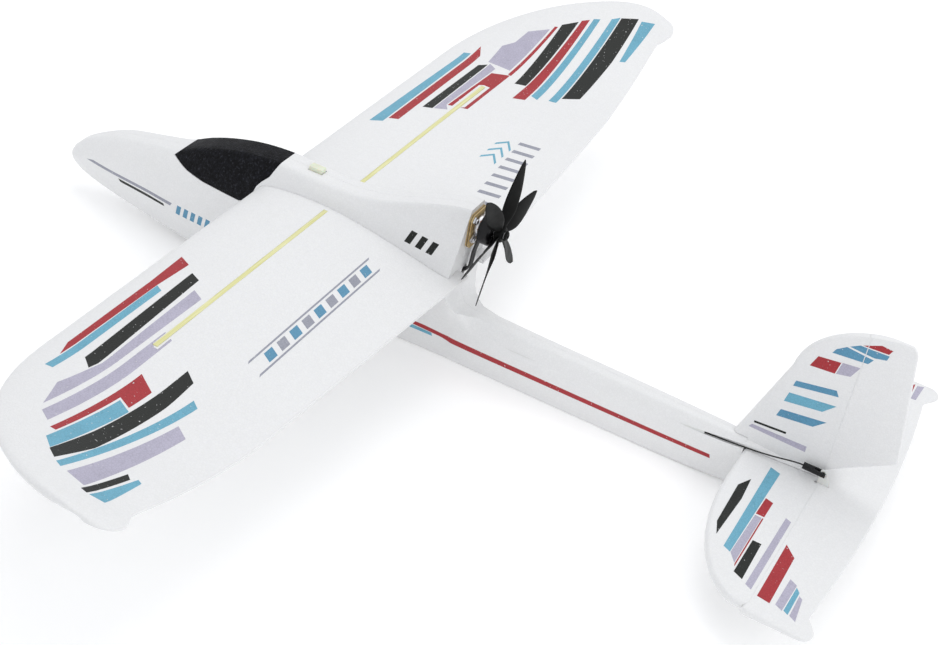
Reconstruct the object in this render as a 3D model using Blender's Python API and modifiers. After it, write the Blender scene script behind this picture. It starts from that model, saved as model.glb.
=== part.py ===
"""A small three-channel pusher glider of moulded foam, as an assembly of separate pieces.

Frame: nose towards -Y, the aircraft's left wing towards +X, up is +Z. The belly stands on Z = 0
and the origin is below the middle of the aircraft. Sizes here are millimetres, and every helper
turns them into metres with MM.
"""

import math

import bmesh
import bpy
from mathutils import Matrix, Vector

MM = 0.001
GAP = 0.35  # clearance between two pieces that touch

# Driving dimensions.
HALF_SPAN = 472.0
TAIL_Y = 400.0  # the nose is as far forward as this is back
WING_Z = 96.0  # height of the wing's middle plane
WING_FRONT = -184.0  # leading edge of the straight part
WING_BACK = 21.0  # trailing edge at the centre line
WING_TAPER = 0.062  # how much the trailing edge comes forward per unit of span
EAR_START = 298.0  # where the wing begins to turn up and to round off
TIP_SWEEP = 147.0
TIP_RISE = 46.0
WING_THICK = 15.5
ROOT_X = 14.0  # the wings' root faces, inside the fuselage
SPAR_Y = -115.0
SPAR_REACH = 265.0
SPAR_WIDTH = 4.0
JOINER_RADIUS = 4.0
JOINER_REACH = 120.0
JOINER_Z = WING_Z - 0.5
TAIL_Z = 40.0  # height of the tailplane's middle plane
TAIL_THICK = 8.0
TAIL_HALF_SPAN = 175.0
ELEVATOR_HALF_SPAN = 180.0
TAIL_FRONT = 283.0
HINGE_Y = 345.0  # front face of the elevator and of the rudder
HINGE_SLIT = 0.6
FIN_THICK = 8.0
FIN_TOP = 191.0
RUDDER_ORIGIN_Z = 110.0
PIVOT_Y = HINGE_Y + TAIL_THICK / 2
MOTOR_Z = 137.0
PLATE_Y = 12.0  # front face of the plywood plate
PROP_Y = 35.5
PROP_RADIUS = 65.5
PROP_BLADES = 6
FIRST_BLADE = -20.5  # degrees from upright, towards the left wing
PROP_LEAD = 13.5  # how far the blade's screw thread climbs for each radian
HORN_ARM = 14.0  # from a hinge axis to the pin of its horn
SERVO_ARM = 12.0
ELEVATOR_SERVO_Y = -148.0
RUDDER_SERVO_Y = -112.0
ROD_Z = 40.0  # height of the pushrods along the boom
ROD_RADIUS = 0.6
GUIDE_FROM = -62.0
GUIDE_TO = 250.0
ELEVATOR_ROD_END = (10.0, 54.0)  # x and z of the elevator horn's pin
RUDDER_ROD_END = (14.0, 60.0)  # the same for the rudder, on the other side

for stale in list(bpy.data.objects):
    bpy.data.objects.remove(stale)

AIRCRAFT = bpy.data.collections.new("rc_glider")
CUTTERS = bpy.data.collections.new("cutters")
bpy.context.scene.collection.children.link(AIRCRAFT)
bpy.context.scene.collection.children.link(CUTTERS)
CUTTERS.hide_render = True


# ---------------------------------------------------------------- materials

def material(name, colour, roughness, metallic=0.0):
    made = bpy.data.materials.new(name)
    made.use_nodes = True
    shader = made.node_tree.nodes["Principled BSDF"]
    shader.inputs["Base Color"].default_value = (*colour, 1.0)
    shader.inputs["Roughness"].default_value = roughness
    shader.inputs["Metallic"].default_value = metallic
    return made


WHITE_FOAM = material("white_foam", (0.83, 0.83, 0.84), 0.55)
BLACK_FOAM = material("black_foam", (0.016, 0.017, 0.02), 0.7)
BLACK_PLASTIC = material("black_plastic", (0.02, 0.02, 0.022), 0.35)
CLEAR_YELLOW = material("yellow_glass_fibre", (0.72, 0.7, 0.36), 0.35)
PLYWOOD = material("plywood", (0.36, 0.22, 0.09), 0.6)
STEEL = material("steel", (0.6, 0.6, 0.62), 0.25, 1.0)
ALUMINIUM = material("aluminium", (0.72, 0.72, 0.74), 0.3, 1.0)
PALE_PLASTIC = material("pale_plastic", (0.78, 0.78, 0.72), 0.4)
BLUE_SHRINK = material("blue_shrink_sleeve", (0.05, 0.14, 0.4), 0.4)
BLACK_RUBBER = material("black_cable", (0.015, 0.015, 0.016), 0.5)
BLACK_WEBBING = material("black_webbing", (0.02, 0.02, 0.022), 0.85)
CARBON = material("carbon_tube", (0.03, 0.03, 0.035), 0.3)


# ---------------------------------------------------------------- helpers

def smooth(obj, angle=38.0):
    obj.data.shade_smooth()
    obj.data.set_sharp_from_angle(angle=math.radians(angle))


def place(name, mesh, looks, target=AIRCRAFT):
    """An object for the mesh, in its collection and with its material."""
    obj = bpy.data.objects.new(name, mesh)
    target.objects.link(obj)
    if looks:
        mesh.materials.clear()
        mesh.materials.append(looks)
    if target is CUTTERS:
        obj.hide_render = True
        obj.display_type = "WIRE"
    return obj


def from_bmesh(name, shape, looks, target=AIRCRAFT, angle=38.0):
    bmesh.ops.recalc_face_normals(shape, faces=shape.faces)
    mesh = bpy.data.meshes.new(name)
    shape.to_mesh(mesh)
    shape.free()
    obj = place(name, mesh, looks, target)
    smooth(obj, angle)
    return obj


def box(name, low, high, looks=None, bevel=0.0, target=AIRCRAFT):
    """A box between two corners, its edges rounded where a bevel is given."""
    shape = bmesh.new()
    bmesh.ops.create_cube(shape, size=1.0)
    size = [(b - a) * MM for a, b in zip(low, high)]
    middle = [(a + b) / 2 * MM for a, b in zip(low, high)]
    bmesh.ops.scale(shape, vec=size, verts=shape.verts)
    bmesh.ops.translate(shape, vec=middle, verts=shape.verts)
    if bevel:
        bmesh.ops.bevel(
            shape, geom=shape.edges[:], offset=bevel * MM, segments=2, affect="EDGES", profile=0.5
        )
    return from_bmesh(name, shape, looks, target, 50.0)


def cutter_box(name, low, high):
    return box(name, low, high, target=CUTTERS)


def rod(name, start, end, radius, looks=None, sides=12, target=AIRCRAFT):
    """A plain round bar from start to end."""
    a = Vector(start) * MM
    b = Vector(end) * MM
    shape = bmesh.new()
    bmesh.ops.create_cone(
        shape, cap_ends=True, segments=sides, radius1=radius * MM, radius2=radius * MM,
        depth=(b - a).length,
    )
    turn = (b - a).to_track_quat("Z", "Y").to_matrix().to_4x4()
    bmesh.ops.transform(shape, matrix=Matrix.Translation((a + b) / 2) @ turn, verts=shape.verts)
    return from_bmesh(name, shape, looks, target)


def loft(name, rings, looks=None, target=AIRCRAFT, angle=38.0):
    """Closed rings of equal count joined in order, with a flat cap at each end."""
    shape = bmesh.new()
    rows = [[shape.verts.new(Vector(point) * MM) for point in ring] for ring in rings]
    count = len(rows[0])
    for first, second in zip(rows, rows[1:]):
        for i in range(count):
            j = (i + 1) % count
            shape.faces.new((first[i], first[j], second[j], second[i]))
    shape.faces.new(rows[0])
    shape.faces.new(rows[-1])
    return from_bmesh(name, shape, looks, target, angle)


def turned(name, profile, centre, looks, steps=24):
    """A profile of (radius, y) pairs turned about a line along Y through the centre."""
    mesh = bpy.data.meshes.new(name)
    shape = bmesh.new()
    points = [shape.verts.new((r * MM, y * MM, 0)) for r, y in profile]
    for a, b in zip(points, points[1:] + points[:1]):
        shape.edges.new((a, b))
    shape.to_mesh(mesh)
    shape.free()
    obj = place(name, mesh, looks)
    obj.location = Vector(centre) * MM
    screw = obj.modifiers.new("turn", "SCREW")
    screw.axis = "Y"
    screw.steps = steps
    screw.render_steps = steps
    screw.use_merge_vertices = True
    screw.merge_threshold = 0.00001
    screw.use_normal_calculate = True
    return bake(obj)


def bake(obj):
    """Applies the object's modifiers, and turns its faces outwards."""
    bpy.context.view_layer.update()
    evaluated = obj.evaluated_get(bpy.context.evaluated_depsgraph_get())
    mesh = bpy.data.meshes.new_from_object(evaluated)
    shape = bmesh.new()
    shape.from_mesh(mesh)
    bmesh.ops.remove_doubles(shape, verts=shape.verts, dist=0.000002)
    bmesh.ops.recalc_face_normals(shape, faces=shape.faces)
    shape.to_mesh(mesh)
    shape.free()
    target = CUTTERS if obj.name in CUTTERS.objects else AIRCRAFT
    looks = obj.data.materials[0] if obj.data.materials else None
    name, matrix = obj.name, obj.matrix_world.copy()
    bpy.data.objects.remove(obj)
    baked = place(name, mesh, looks, target)
    baked.matrix_world = matrix
    smooth(baked)
    return baked


def boolean(obj, others, operation):
    for other in others:
        step = obj.modifiers.new(other.name, "BOOLEAN")
        step.operation = operation
        step.solver = "EXACT"
        step.object = other
    made = bake(obj)
    for other in others:
        bpy.data.objects.remove(other)
    return made


def cut(obj, *others):
    return boolean(obj, others, "DIFFERENCE")


def keep(obj, *others):
    return boolean(obj, others, "INTERSECT")


def join(obj, *others):
    return boolean(obj, others, "UNION")


def copy_of(obj, name, target=CUTTERS):
    made = place(name, obj.data.copy(), None, target)
    made.matrix_world = obj.matrix_world.copy()
    return made


def wire(name, points, radius, looks=None, sides=2, target=AIRCRAFT, capped=True):
    """A round wire through the points, as a mesh."""
    curve = bpy.data.curves.new(name, "CURVE")
    curve.dimensions = "3D"
    curve.bevel_depth = radius * MM
    curve.bevel_resolution = sides
    curve.use_fill_caps = capped
    spline = curve.splines.new("POLY")
    spline.points.add(len(points) - 1)
    for spot, point in zip(spline.points, points):
        spot.co = (*(Vector(point) * MM), 1.0)
    obj = bpy.data.objects.new(name, curve)
    target.objects.link(obj)
    curve.materials.append(looks or BLACK_PLASTIC)
    return bake(obj)


def tube(name, points, radius, wall, looks):
    """A pipe that is open at both ends."""
    obj = wire(name, points, radius, looks, capped=False)
    shell = obj.modifiers.new("wall", "SOLIDIFY")
    shell.thickness = wall * MM
    shell.offset = -1.0
    return bake(obj)


def curve_points(knots, steps):
    """Points on one smooth curve through the knots (Catmull-Rom)."""
    ends = [Vector(k) for k in knots]
    ends = [ends[0] * 2 - ends[1]] + ends + [ends[-1] * 2 - ends[-2]]
    found = []
    for a, b, c, d in zip(ends, ends[1:], ends[2:], ends[3:]):
        for i in range(steps):
            t = i / steps
            found.append(
                0.5 * (2 * b + (c - a) * t + (2 * a - 5 * b + 4 * c - d) * t**2
                       + (3 * b - a - 3 * c + d) * t**3)
            )
    found.append(ends[-2])
    return found


def flat_outline(name, points, centre, thickness, normal, looks, target=AIRCRAFT):
    """A plate cut to an outline. Points are (y, z) when it faces X, and (x, z) when it faces Y."""
    shape = bmesh.new()
    if normal == "X":
        low = [shape.verts.new(((centre - thickness / 2) * MM, y * MM, z * MM)) for y, z in points]
        step = (thickness * MM, 0, 0)
    else:
        low = [shape.verts.new((x * MM, (centre - thickness / 2) * MM, z * MM)) for x, z in points]
        step = (0, thickness * MM, 0)
    face = shape.faces.new(low)
    grown = bmesh.ops.extrude_face_region(shape, geom=[face])
    moved = [part for part in grown["geom"] if isinstance(part, bmesh.types.BMVert)]
    bmesh.ops.translate(shape, vec=step, verts=moved)
    return from_bmesh(name, shape, looks, target)


def mirrored(obj, name):
    """The same piece on the aircraft's other side."""
    mesh = obj.data.copy()
    mesh.transform(Matrix.Scale(-1, 4, (1, 0, 0)) @ obj.matrix_world)
    mesh.flip_normals()
    made = place(name, mesh, obj.data.materials[0])
    smooth(made)
    return made


def about(obj, point):
    """Moves the object's origin to a point on its joint's axis, and leaves its shape in place."""
    origin = Vector(point) * MM
    obj.data.transform(Matrix.Translation(-origin) @ obj.matrix_world)
    obj.matrix_world = Matrix.Translation(origin)


# ---------------------------------------------------------------- wing

def wing_front(x):
    """Leading edge: straight, then rounded into the tip."""
    t = max(0.0, min(1.0, (x - EAR_START) / (HALF_SPAN - EAR_START)))
    return WING_FRONT + TIP_SWEEP * (1 - (1 - t * t) ** (1 / 1.65))


def wing_back(x):
    """Trailing edge: nearly straight, with a small horn that rounds off at the tip."""
    horn = max(0.0, min(1.0, (x - (HALF_SPAN - 36)) / 18))
    corner = max(0.0, min(1.0, (x - (HALF_SPAN - 15)) / 15))
    lobe = 9.0 * horn * horn * (3 - 2 * horn)
    return WING_BACK - WING_TAPER * x + lobe - 18.0 * (1 - math.sqrt(1 - corner * corner))


def wing_rise(x):
    """How far the ear has turned up."""
    t = max(0.0, (x - EAR_START) / (HALF_SPAN - EAR_START))
    return TIP_RISE * t**1.6


def wing_section(x, samples=11):
    """Ring of points round the wing at x: over the top from the back, and back underneath."""
    front, back = wing_front(x), wing_back(x)
    chord = back - front
    outer = max(0.0, (x - 150) / (HALF_SPAN - 150))
    thick = WING_THICK - 5.5 * outer**1.5
    edge = max(0.0, min(1.0, (x - (HALF_SPAN - 9)) / 9))
    thick *= math.sqrt(max(0.04, 1 - edge * edge))
    top, bottom = [], []
    for i in range(samples + 1):
        c = 0.5 - 0.5 * math.cos(math.pi * i / samples)
        round_front = math.sqrt(c) * 0.2969 - 0.126 * c - 0.3516 * c**2 + 0.2843 * c**3
        half = thick * 5.0 * (round_front - 0.0836 * c**4)
        half = max(half, 1.3 * c * thick / WING_THICK)
        middle = WING_Z + wing_rise(x) + 1.0 - 4.0 * c + 2.2 * 4 * c * (1 - c)
        y = front + chord * c
        top.append((x, y, middle + half))
        bottom.append((x, y, middle - half))
    return top[::-1] + bottom[1:]


# Where the ear's sections stand, as shares of its width, closer together towards the tip.
EAR_STEPS = (0.13, 0.27, 0.4, 0.52, 0.63, 0.73, 0.81, 0.88, 0.93, 0.96, 0.985, 1.0)


def joiner_bore(start, end):
    """Cutter for the tube that joins the wings, from start to end across the aircraft."""
    return rod(
        "joiner_bore", (start, SPAR_Y, JOINER_Z), (end, SPAR_Y, JOINER_Z), JOINER_RADIUS + 0.4,
        target=CUTTERS,
    )


def build_wings():
    ear = HALF_SPAN - EAR_START
    stations = [ROOT_X, 120, 230, EAR_START] + [EAR_START + ear * share for share in EAR_STEPS]
    wing = loft("wing_left", [wing_section(x) for x in stations], WHITE_FOAM)
    half = SPAR_WIDTH / 2
    slot = cutter_box(
        "spar_slot", (25 - GAP, SPAR_Y - half - GAP, WING_Z + 5.6),
        (SPAR_REACH + GAP, SPAR_Y + half + GAP, 120),
    )
    bore = joiner_bore(0, JOINER_REACH + 2)
    wing = cut(wing, slot, bore)
    mirrored(wing, "wing_right")
    low = (25, SPAR_Y - half, WING_Z + 6)
    high = (SPAR_REACH, SPAR_Y + half, WING_Z + 9.4)
    mirrored(box("wing_spar_left", low, high, CLEAR_YELLOW), "wing_spar_right")
    ends = [(side * JOINER_REACH, SPAR_Y, JOINER_Z) for side in (-1, 1)]
    rod("wing_joiner", *ends, JOINER_RADIUS, CARBON, 16)


# ---------------------------------------------------------------- fuselage

# Each section: y, belly z and half-width, waist half-width and z, shoulder, crown, top z.
SECTIONS = [
    (-400, 27, 3, 5, 32, 4.5, 35, 3, 36.6, 37),
    (-396, 24.5, 5, 9, 33, 8, 38, 5, 42.5, 43.5),
    (-388, 22, 7.5, 12.5, 35, 11.5, 43, 7, 50.5, 52),
    (-370, 19, 11, 16.5, 40, 15.5, 52, 9.5, 61, 63.5),
    (-345, 15.5, 13.5, 20, 44, 18.5, 60.5, 11.5, 72.5, 75),
    (-310, 11.5, 16, 22.5, 46, 21.5, 67, 13, 81, 84),
    (-278, 8, 18, 25, 48, 24, 72, 15, 88.5, 91.5),
    (-258, 6, 19, 26, 49, 25, 77, 15.5, 98, 101.5),
    (-235, 4, 20, 26.7, 50, 25.5, 81, 15.5, 106.5, 110.5),
    (-205, 2, 20.5, 27, 50, 25.5, 86, 15, 114.5, 118.5),
    (-172, 0.5, 20.5, 26.7, 52, 24, 91.5, 14.5, 118.5, 122.5),
    (-140, 0, 21, 26, 54, 20.5, 102, 14, 118.5, 122.5),
    (-105, 0, 20, 25, 54, 20.5, 103, 14, 119, 123),
    (-70, 0, 18, 23, 50, 24, 100, 13.5, 125, 129),
    (-35, 0, 13, 18, 45, 27.5, 98, 13, 137.5, 141.5),
    (-14, 0, 11.8, 16.4, 41, 30, 96, 13, 145, 149),
    (-4, 0, 11.5, 15.8, 40, 31, 94.5, 13, 148, 152),
    (3, 0, 11.2, 15.5, 39, 31.5, 93.5, 13, 149.8, 153.8),
    (8, 0, 11, 15.3, 38, 31.5, 92.5, 13, 150.5, 154.5),
    (12, 0, 11, 15.2, 38, 31, 91.5, 13, 151, 155),
    (14, 0, 11, 15.1, 37, 13.6, 62, 12, 72, 75),
    (20, 0, 11, 15, 36, 15.2, 50, 11, 60, 63),
    (30, 0, 11, 14.9, 35, 14.9, 43, 10, 53.5, 56),
    (46, 0, 10.8, 14.8, 34, 14.5, 41, 9, 51, 53.5),
    (200, 0.6, 9, 12.2, 32, 12, 40.5, 7.8, 50, 52.3),
    (282, 4, 7, 9.6, 30, 9.4, 41, 6, 49, 51.2),
    (340, 15, 5.5, 7.4, 30, 7.2, 38, 5, 45.6, 47.5),
]
PYLON_BACK = [  # the throat under the motor plate seen from the side, as (y, z)
    (11.6, 118.5), (10.8, 107), (10, 97), (9.3, 88), (9.1, 79), (10.2, 70), (13, 62), (17.5, 56.5),
    (26, 53.9), (60, 53.9), (60, 118.5),
]


def fuselage_ring(section, steps=3):
    """The section's outline, rounded through its corner points and mirrored."""
    y, low, belly, waist, waist_z, shoulder, shoulder_z, crown, crown_z, top = section
    knots = [
        (0, low), (belly * 0.55, low), (belly, low + 0.06 * (waist_z - low)), (waist, waist_z),
        (shoulder, shoulder_z), (crown, crown_z), (crown * 0.5, top), (0, top),
    ]
    side = curve_points([(x, 0, z) for x, z in knots], steps)
    side = [Vector((max(0.0, p.x), y, min(top, max(low, p.z)))) for p in side]
    other = [Vector((-p.x, y, p.z)) for p in side[1:-1]]
    return side + other[::-1]


def smoothed_sections():
    """The sections with one more between each pair along the nose and the canopy."""
    rows = []
    for before, after in zip(SECTIONS, SECTIONS[1:]):
        rows.append(before)
        if -380 < before[0] < -110:
            rows.append(tuple((a + b) / 2 for a, b in zip(before, after)))
    rows.append(SECTIONS[-1])
    return rows


# The canopy's seam seen from the side, as (y, z): front, down the side, rear corner, and up.
CANOPY_SEAM = [
    (-271, 150), (-271.5, 94.6), (-278, 87.8), (-259, 82.8), (-241, 80), (-213.5, 78.8), (-201.5, 78.3),
    (-195.5, 80.5), (-191.5, 85), (-189, 92), (-187.5, 97.5), (-184, 102.5), (-177.5, 109.5),
    (-174.5, 116.5), (-171.5, 123), (-170, 150),
]


def rod_route(side):
    """The pushrod's way from its servo along the boom to its horn."""
    horn_x, horn_z = ELEVATOR_ROD_END if side > 0 else RUDDER_ROD_END
    servo_y = ELEVATOR_SERVO_Y if side > 0 else RUDDER_SERVO_Y
    knots = [
        (SERVO_ARM - 1, servo_y, ROD_Z + 1.5), (12, -70, ROD_Z + 0.8), (12.8, 0, ROD_Z + 0.2),
        (12.7, 60, ROD_Z), (11.4, 130, ROD_Z), (9.9, 200, ROD_Z + 0.8), (8.6, 262, ROD_Z + 3.2),
        ((horn_x + 8.6) / 2, 298, (ROD_Z + 0.8 + horn_z) / 2), (horn_x, 326, horn_z - 0.4),
        (horn_x, 335.5, horn_z),
    ]
    return [(side * x, y, z) for x, y, z in knots]


def guide_route(side, start=GUIDE_FROM, end=GUIDE_TO):
    """The straight-lying middle of the pushrod's way."""
    return [p for p in curve_points(rod_route(side), 4) if start < p.y < end]


def build_fuselage():
    body = loft("fuselage_left", [fuselage_ring(s) for s in smoothed_sections()], WHITE_FOAM)
    full = copy_of(body, "canopy")
    prism = flat_outline("canopy_prism", CANOPY_SEAM, 0, 90, "X", None, CUTTERS)
    grown = []
    for y, z in CANOPY_SEAM:
        rearward = 2 * GAP if y > -220 else -2 * GAP
        down = 0 if y < -220 and z > 90 else 2 * GAP
        grown.append((y + rearward, z - down))
    opening = flat_outline("canopy_opening", grown, 0, 90, "X", None, CUTTERS)
    build_canopy(full, prism)

    pocket_rings = []
    for x in (ROOT_X - 0.4, 60):
        ring = wing_section(x)
        pocket_rings.append(
            [(x, y + (0.5 if y > WING_FRONT + 60 else -0.6), z + (0.45 if i < len(ring) / 2 else -0.45))
             for i, (_, y, z) in enumerate(ring)]
        )
    pocket = loft("wing_pocket", pocket_rings, target=CUTTERS)
    front_bay = cutter_box("front_bay", (-1, -290, 20), (17, -200.5, 68))
    hatch_way = cutter_box("hatch_way", (-1, -270, 60), (17, -200.5, 120))
    rear_bay = cutter_box("rear_bay", (-1, -201, 14), (17, -70, 80))
    bore = joiner_bore(-1, 30)
    seat = cutter_box("motor_seat", (-1, PLATE_Y - GAP, 118), (40, 60, 170))
    throat = flat_outline("pylon_throat", PYLON_BACK, 0, 90, "X", None, CUTTERS)
    tail_bed = TAIL_Z - TAIL_THICK / 2 - GAP
    tail_cut = cutter_box("tail_seat", (-30, TAIL_FRONT - 1.2, tail_bed), (30, 360, 80))
    groove = wire("rod_groove", guide_route(1, -76, 300), 2.05, target=CUTTERS)
    lead_knots = [(0, 20, 92), (0, 10, 89.5), (0, 3, 86), (0, -30, 76.5), (0, -74, 70)]
    lead_route = curve_points(lead_knots, 3)
    lead_way = wire("lead_way", lead_route, 4.6, target=CUTTERS)
    middle = cutter_box("left_side", (GAP / 2, -450, -20), (90, 450, 260))
    body = keep(body, middle)
    body = cut(body, opening, front_bay)
    body = cut(body, hatch_way)
    body = cut(body, rear_bay, bore)
    body = cut(body, pocket)
    body = cut(body, seat, throat)
    body = cut(body, tail_cut)
    body = cut(body, groove, lead_way)
    catch_well = cutter_box("catch_well", (11.5, -231.4, 64.6), (17.6, -218.6, 81))
    key_seat = cutter_box("key_seat", (-1, -148.9, 120.6), (4.4, -134.1, 140))
    body = cut(body, catch_well, key_seat)
    mirrored(body, "fuselage_right")


def build_canopy(full, prism):
    """The black foam lid, cut from the fuselage's own shape and hollowed underneath."""
    lid = keep(full, prism)
    hollow = cutter_box("canopy_hollow", (-17.4, -246, 60), (17.4, -197, 99))
    lid = cut(lid, hollow)
    lid.name = "canopy"
    AIRCRAFT.objects.link(lid)
    CUTTERS.objects.unlink(lid)
    lid.hide_render = False
    lid.display_type = "TEXTURED"
    lid.data.materials.clear()
    lid.data.materials.append(BLACK_FOAM)
    about(lid, (0, -220, 80))
    for side, label in ((1, "left"), (-1, "right")):
        build_canopy_lock(side * 14.3, label)


def build_canopy_lock(x, label):
    """One tongue of the canopy, and the catch in the fuselage that grips it."""
    low, high = (x - 0.75, -228.5, 69), (x + 0.75, -221.5, 97)
    tongue = box(f"canopy_tongue_{label}", low, high, BLACK_PLASTIC)
    foot_x = x + math.copysign(1.3, x)
    foot = cutter_box("foot", (foot_x - 1.45, -229.5, 86), (foot_x + 1.45, -220.5, 96.5))
    about(join(tongue, foot), (0, -220, 80))
    clip = box(f"canopy_catch_{label}", (x - 2.4, -230.8, 65.2), (x + 2.4, -219.2, 76), BLACK_PLASTIC)
    cut(clip, cutter_box("slot", (x - 1.25, -229.3, 67.5), (x + 1.25, -220.7, 90)))


# ---------------------------------------------------------------- tail

def tail_front(x):
    t = max(0.0, min(1.0, (x - 50) / (TAIL_HALF_SPAN - 50)))
    return TAIL_FRONT + 60 * (1 - (1 - t * t) ** (1 / 1.9))


def elevator_back(x):
    """Trailing edge of the elevator, with a small horn at the tip."""
    start = ELEVATOR_HALF_SPAN - 27
    horn = max(0.0, min(1.0, (x - start) / 17))
    corner = max(0.0, min(1.0, (x - (ELEVATOR_HALF_SPAN - 8.5)) / 8.5))
    sweep = TAIL_Y - 9 * (min(x, start) / start) ** 2
    return sweep + 8.5 * horn * horn * (3 - 2 * horn) - 10 * (1 - math.sqrt(1 - corner * corner))


def plate_ring(front, back, half, back_half, round_back, samples=5):
    """Half-thickness along a flat tail surface, from a round front edge to its back edge."""
    nose = []
    for i in range(samples):
        a = math.pi / 2 * i / (samples - 1)
        nose.append((front + half * (1 - math.cos(a)), half * math.sin(a)))
    last = max(back - 1.2, nose[-1][0] + 0.2)
    rest = [(last, back_half), (max(back, last + 0.1), back_half * round_back)]
    return nose + rest


def ring_x(x, profile, z):
    """A tail surface's ring in the plane of x."""
    top = [(x, y, z + h) for y, h in profile[1:]]
    bottom = [(x, y, z - h) for y, h in profile[1:]]
    return [(x, profile[0][0], z)] + top + bottom[::-1]


def build_tailplane():
    span = [0, 60, 84, 104, 121, 136, 149, 159, 166.5, 171.5, TAIL_HALF_SPAN - 0.1]
    rings = []
    for x in [-s for s in span[:0:-1]] + span:
        r = abs(x)
        edge = max(0.0, (r - (TAIL_HALF_SPAN - 6)) / 6)
        half = TAIL_THICK / 2 * math.sqrt(max(0.1, 1 - edge * edge))
        front = min(tail_front(r), HINGE_Y - HINGE_SLIT - 2 * half - 0.5)
        rings.append(ring_x(x, plate_ring(front, HINGE_Y - HINGE_SLIT, half, half, 0.82), TAIL_Z))
    loft("tailplane", rings, WHITE_FOAM)

    span = [0, 60, 110, 140, 152, 161, 168] + [ELEVATOR_HALF_SPAN - inset for inset in (7, 3.5, 1, 0.2)]
    rings = []
    for x in [-s for s in span[:0:-1]] + span:
        r = abs(x)
        edge = max(0.0, (r - (ELEVATOR_HALF_SPAN - 6)) / 6)
        half = TAIL_THICK / 2 * math.sqrt(max(0.12, 1 - edge * edge))
        front = HINGE_Y + 8 * max(0.0, (r - (ELEVATOR_HALF_SPAN - 4.5)) / 4.5) ** 2
        back = elevator_back(r)
        rings.append(ring_x(x, plate_ring(front, back, half, min(half, 1.6), 0.4), TAIL_Z))
    elevator = loft("elevator", rings, WHITE_FOAM)
    notch = cutter_box("horn_seat", (8.4, 346, 40.8), (11.6, 357.4, 50))
    elevator = cut(elevator, notch)
    about(elevator, (0, PIVOT_Y, TAIL_Z))


def fin_front(z):
    bend = FIN_TOP - 57  # where the straight edge begins to curve back
    t = max(0.0, min(1.0, (z - bend) / (FIN_TOP - bend)))
    slope = 269 + 0.34 * (min(z, bend) - 51) + 0.12 * (max(z, bend) - bend)
    return slope + 72 * (1 - (1 - t**2.2) ** 0.5)


def rudder_back(z):
    """Trailing edge: slanted up from the hinge, so that the elevator can rise under it."""
    if z < 85:
        return HINGE_Y + 1 + (z - 51) * 53.0 / 34
    corner = max(0.0, min(1.0, (z - FIN_TOP + 11) / 11))
    return 399 - 0.156 * (z - 85) - 8 * (1 - math.sqrt(1 - corner * corner))


def ring_z(z, profile):
    left = [(h, y, z) for y, h in profile[1:]]
    right = [(-h, y, z) for y, h in profile[1:]]
    return [(0, profile[0][0], z)] + left + right[::-1]


def fin_half(z):
    edge = max(0.0, (z - (FIN_TOP - 6)) / 6)
    return (FIN_THICK / 2 - 0.6 * max(0.0, (z - 60) / 137)) * math.sqrt(max(0.12, 1 - edge * edge))


def build_fin():
    back = HINGE_Y - HINGE_SLIT
    heights = [44.5, 52, 80, 105, 130] + [FIN_TOP - drop for drop in (49, 39, 31, 24, 18, 13, 9.5)]
    rings = []
    for z in heights:
        half = fin_half(z)
        front = min(fin_front(z), back - 2 * half - 0.4)
        rings.append(ring_z(z, plate_ring(front, back, half, half, 0.82)))
    fin = loft("fin", rings, WHITE_FOAM)
    step = cutter_box("boom_step", (-20, 240, 40), (20, TAIL_FRONT - 0.8, 52.2))
    cut(fin, step)

    heights = [52.5, 56, 62, 70, 78, 85, 110, 135, 160] + [
        FIN_TOP - drop for drop in (20, 11, 7, 4, 1.8, 0.4, 0)
    ]
    rings = []
    for z in heights:
        half = fin_half(z)
        front = max(HINGE_Y, fin_front(z)) if z > FIN_TOP - 11 else HINGE_Y
        end = max(rudder_back(z), front + 2 * half + 0.6)
        rings.append(ring_z(z, plate_ring(front, end, half, min(half, 1.5), 0.4)))
    rudder = loft("rudder", rings, WHITE_FOAM)
    seat = cutter_box("horn_seat", (-6, 346, 58.4), (-0.8, 357.4, 61.6))
    rudder = cut(rudder, seat)
    about(rudder, (0, PIVOT_Y, RUDDER_ORIGIN_Z))


def horn(name, thickness, at, turn):
    """A control horn: a flat plate with a slotted hole above its hinge line."""
    points = [(PIVOT_Y - 2.4, 1.2), (PIVOT_Y + 7.6, 1.2), (PIVOT_Y + 7.6, 5), (PIVOT_Y + 2.8, 16.6)]
    points += [(PIVOT_Y + 1.4, 17.9), (PIVOT_Y - 1.4, 17.9), (PIVOT_Y - 2.4, 16.6)]
    plate = flat_outline(name, points, 0, thickness, "X", PALE_PLASTIC)
    hole = cutter_box("hole", (-3, PIVOT_Y - 1.15, HORN_ARM - 0.9), (3, PIVOT_Y + 1.15, HORN_ARM + 2.3))
    plate = cut(plate, hole)
    plate.data.transform(Matrix.Translation(Vector(at) * MM) @ turn)
    return plate


def clevis(name, pin, turn):
    """A fork whose pin passes through a horn's hole. It is made lying along Y at the origin."""
    body = box(name, (-2.3, -17, -1.9), (2.3, -8, 1.9), BLACK_PLASTIC)
    prongs = [
        box("prong", (side * 1.9 - 0.75, -9, -1.8), (side * 1.9 + 0.75, 2.2, 1.8), target=CUTTERS)
        for side in (1, -1)
    ]
    bar = rod("pin", (-3.2, 0, 0), (3.2, 0, 0), 0.6, sides=8, target=CUTTERS)
    body = join(body, *prongs, bar)
    bore = rod("bore", (0, -20, 0), (0, -12.5, 0), 1.3, sides=8, target=CUTTERS)
    body = cut(body, bore)
    body.data.transform(Matrix.Translation(Vector(pin) * MM) @ turn)
    return body


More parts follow.
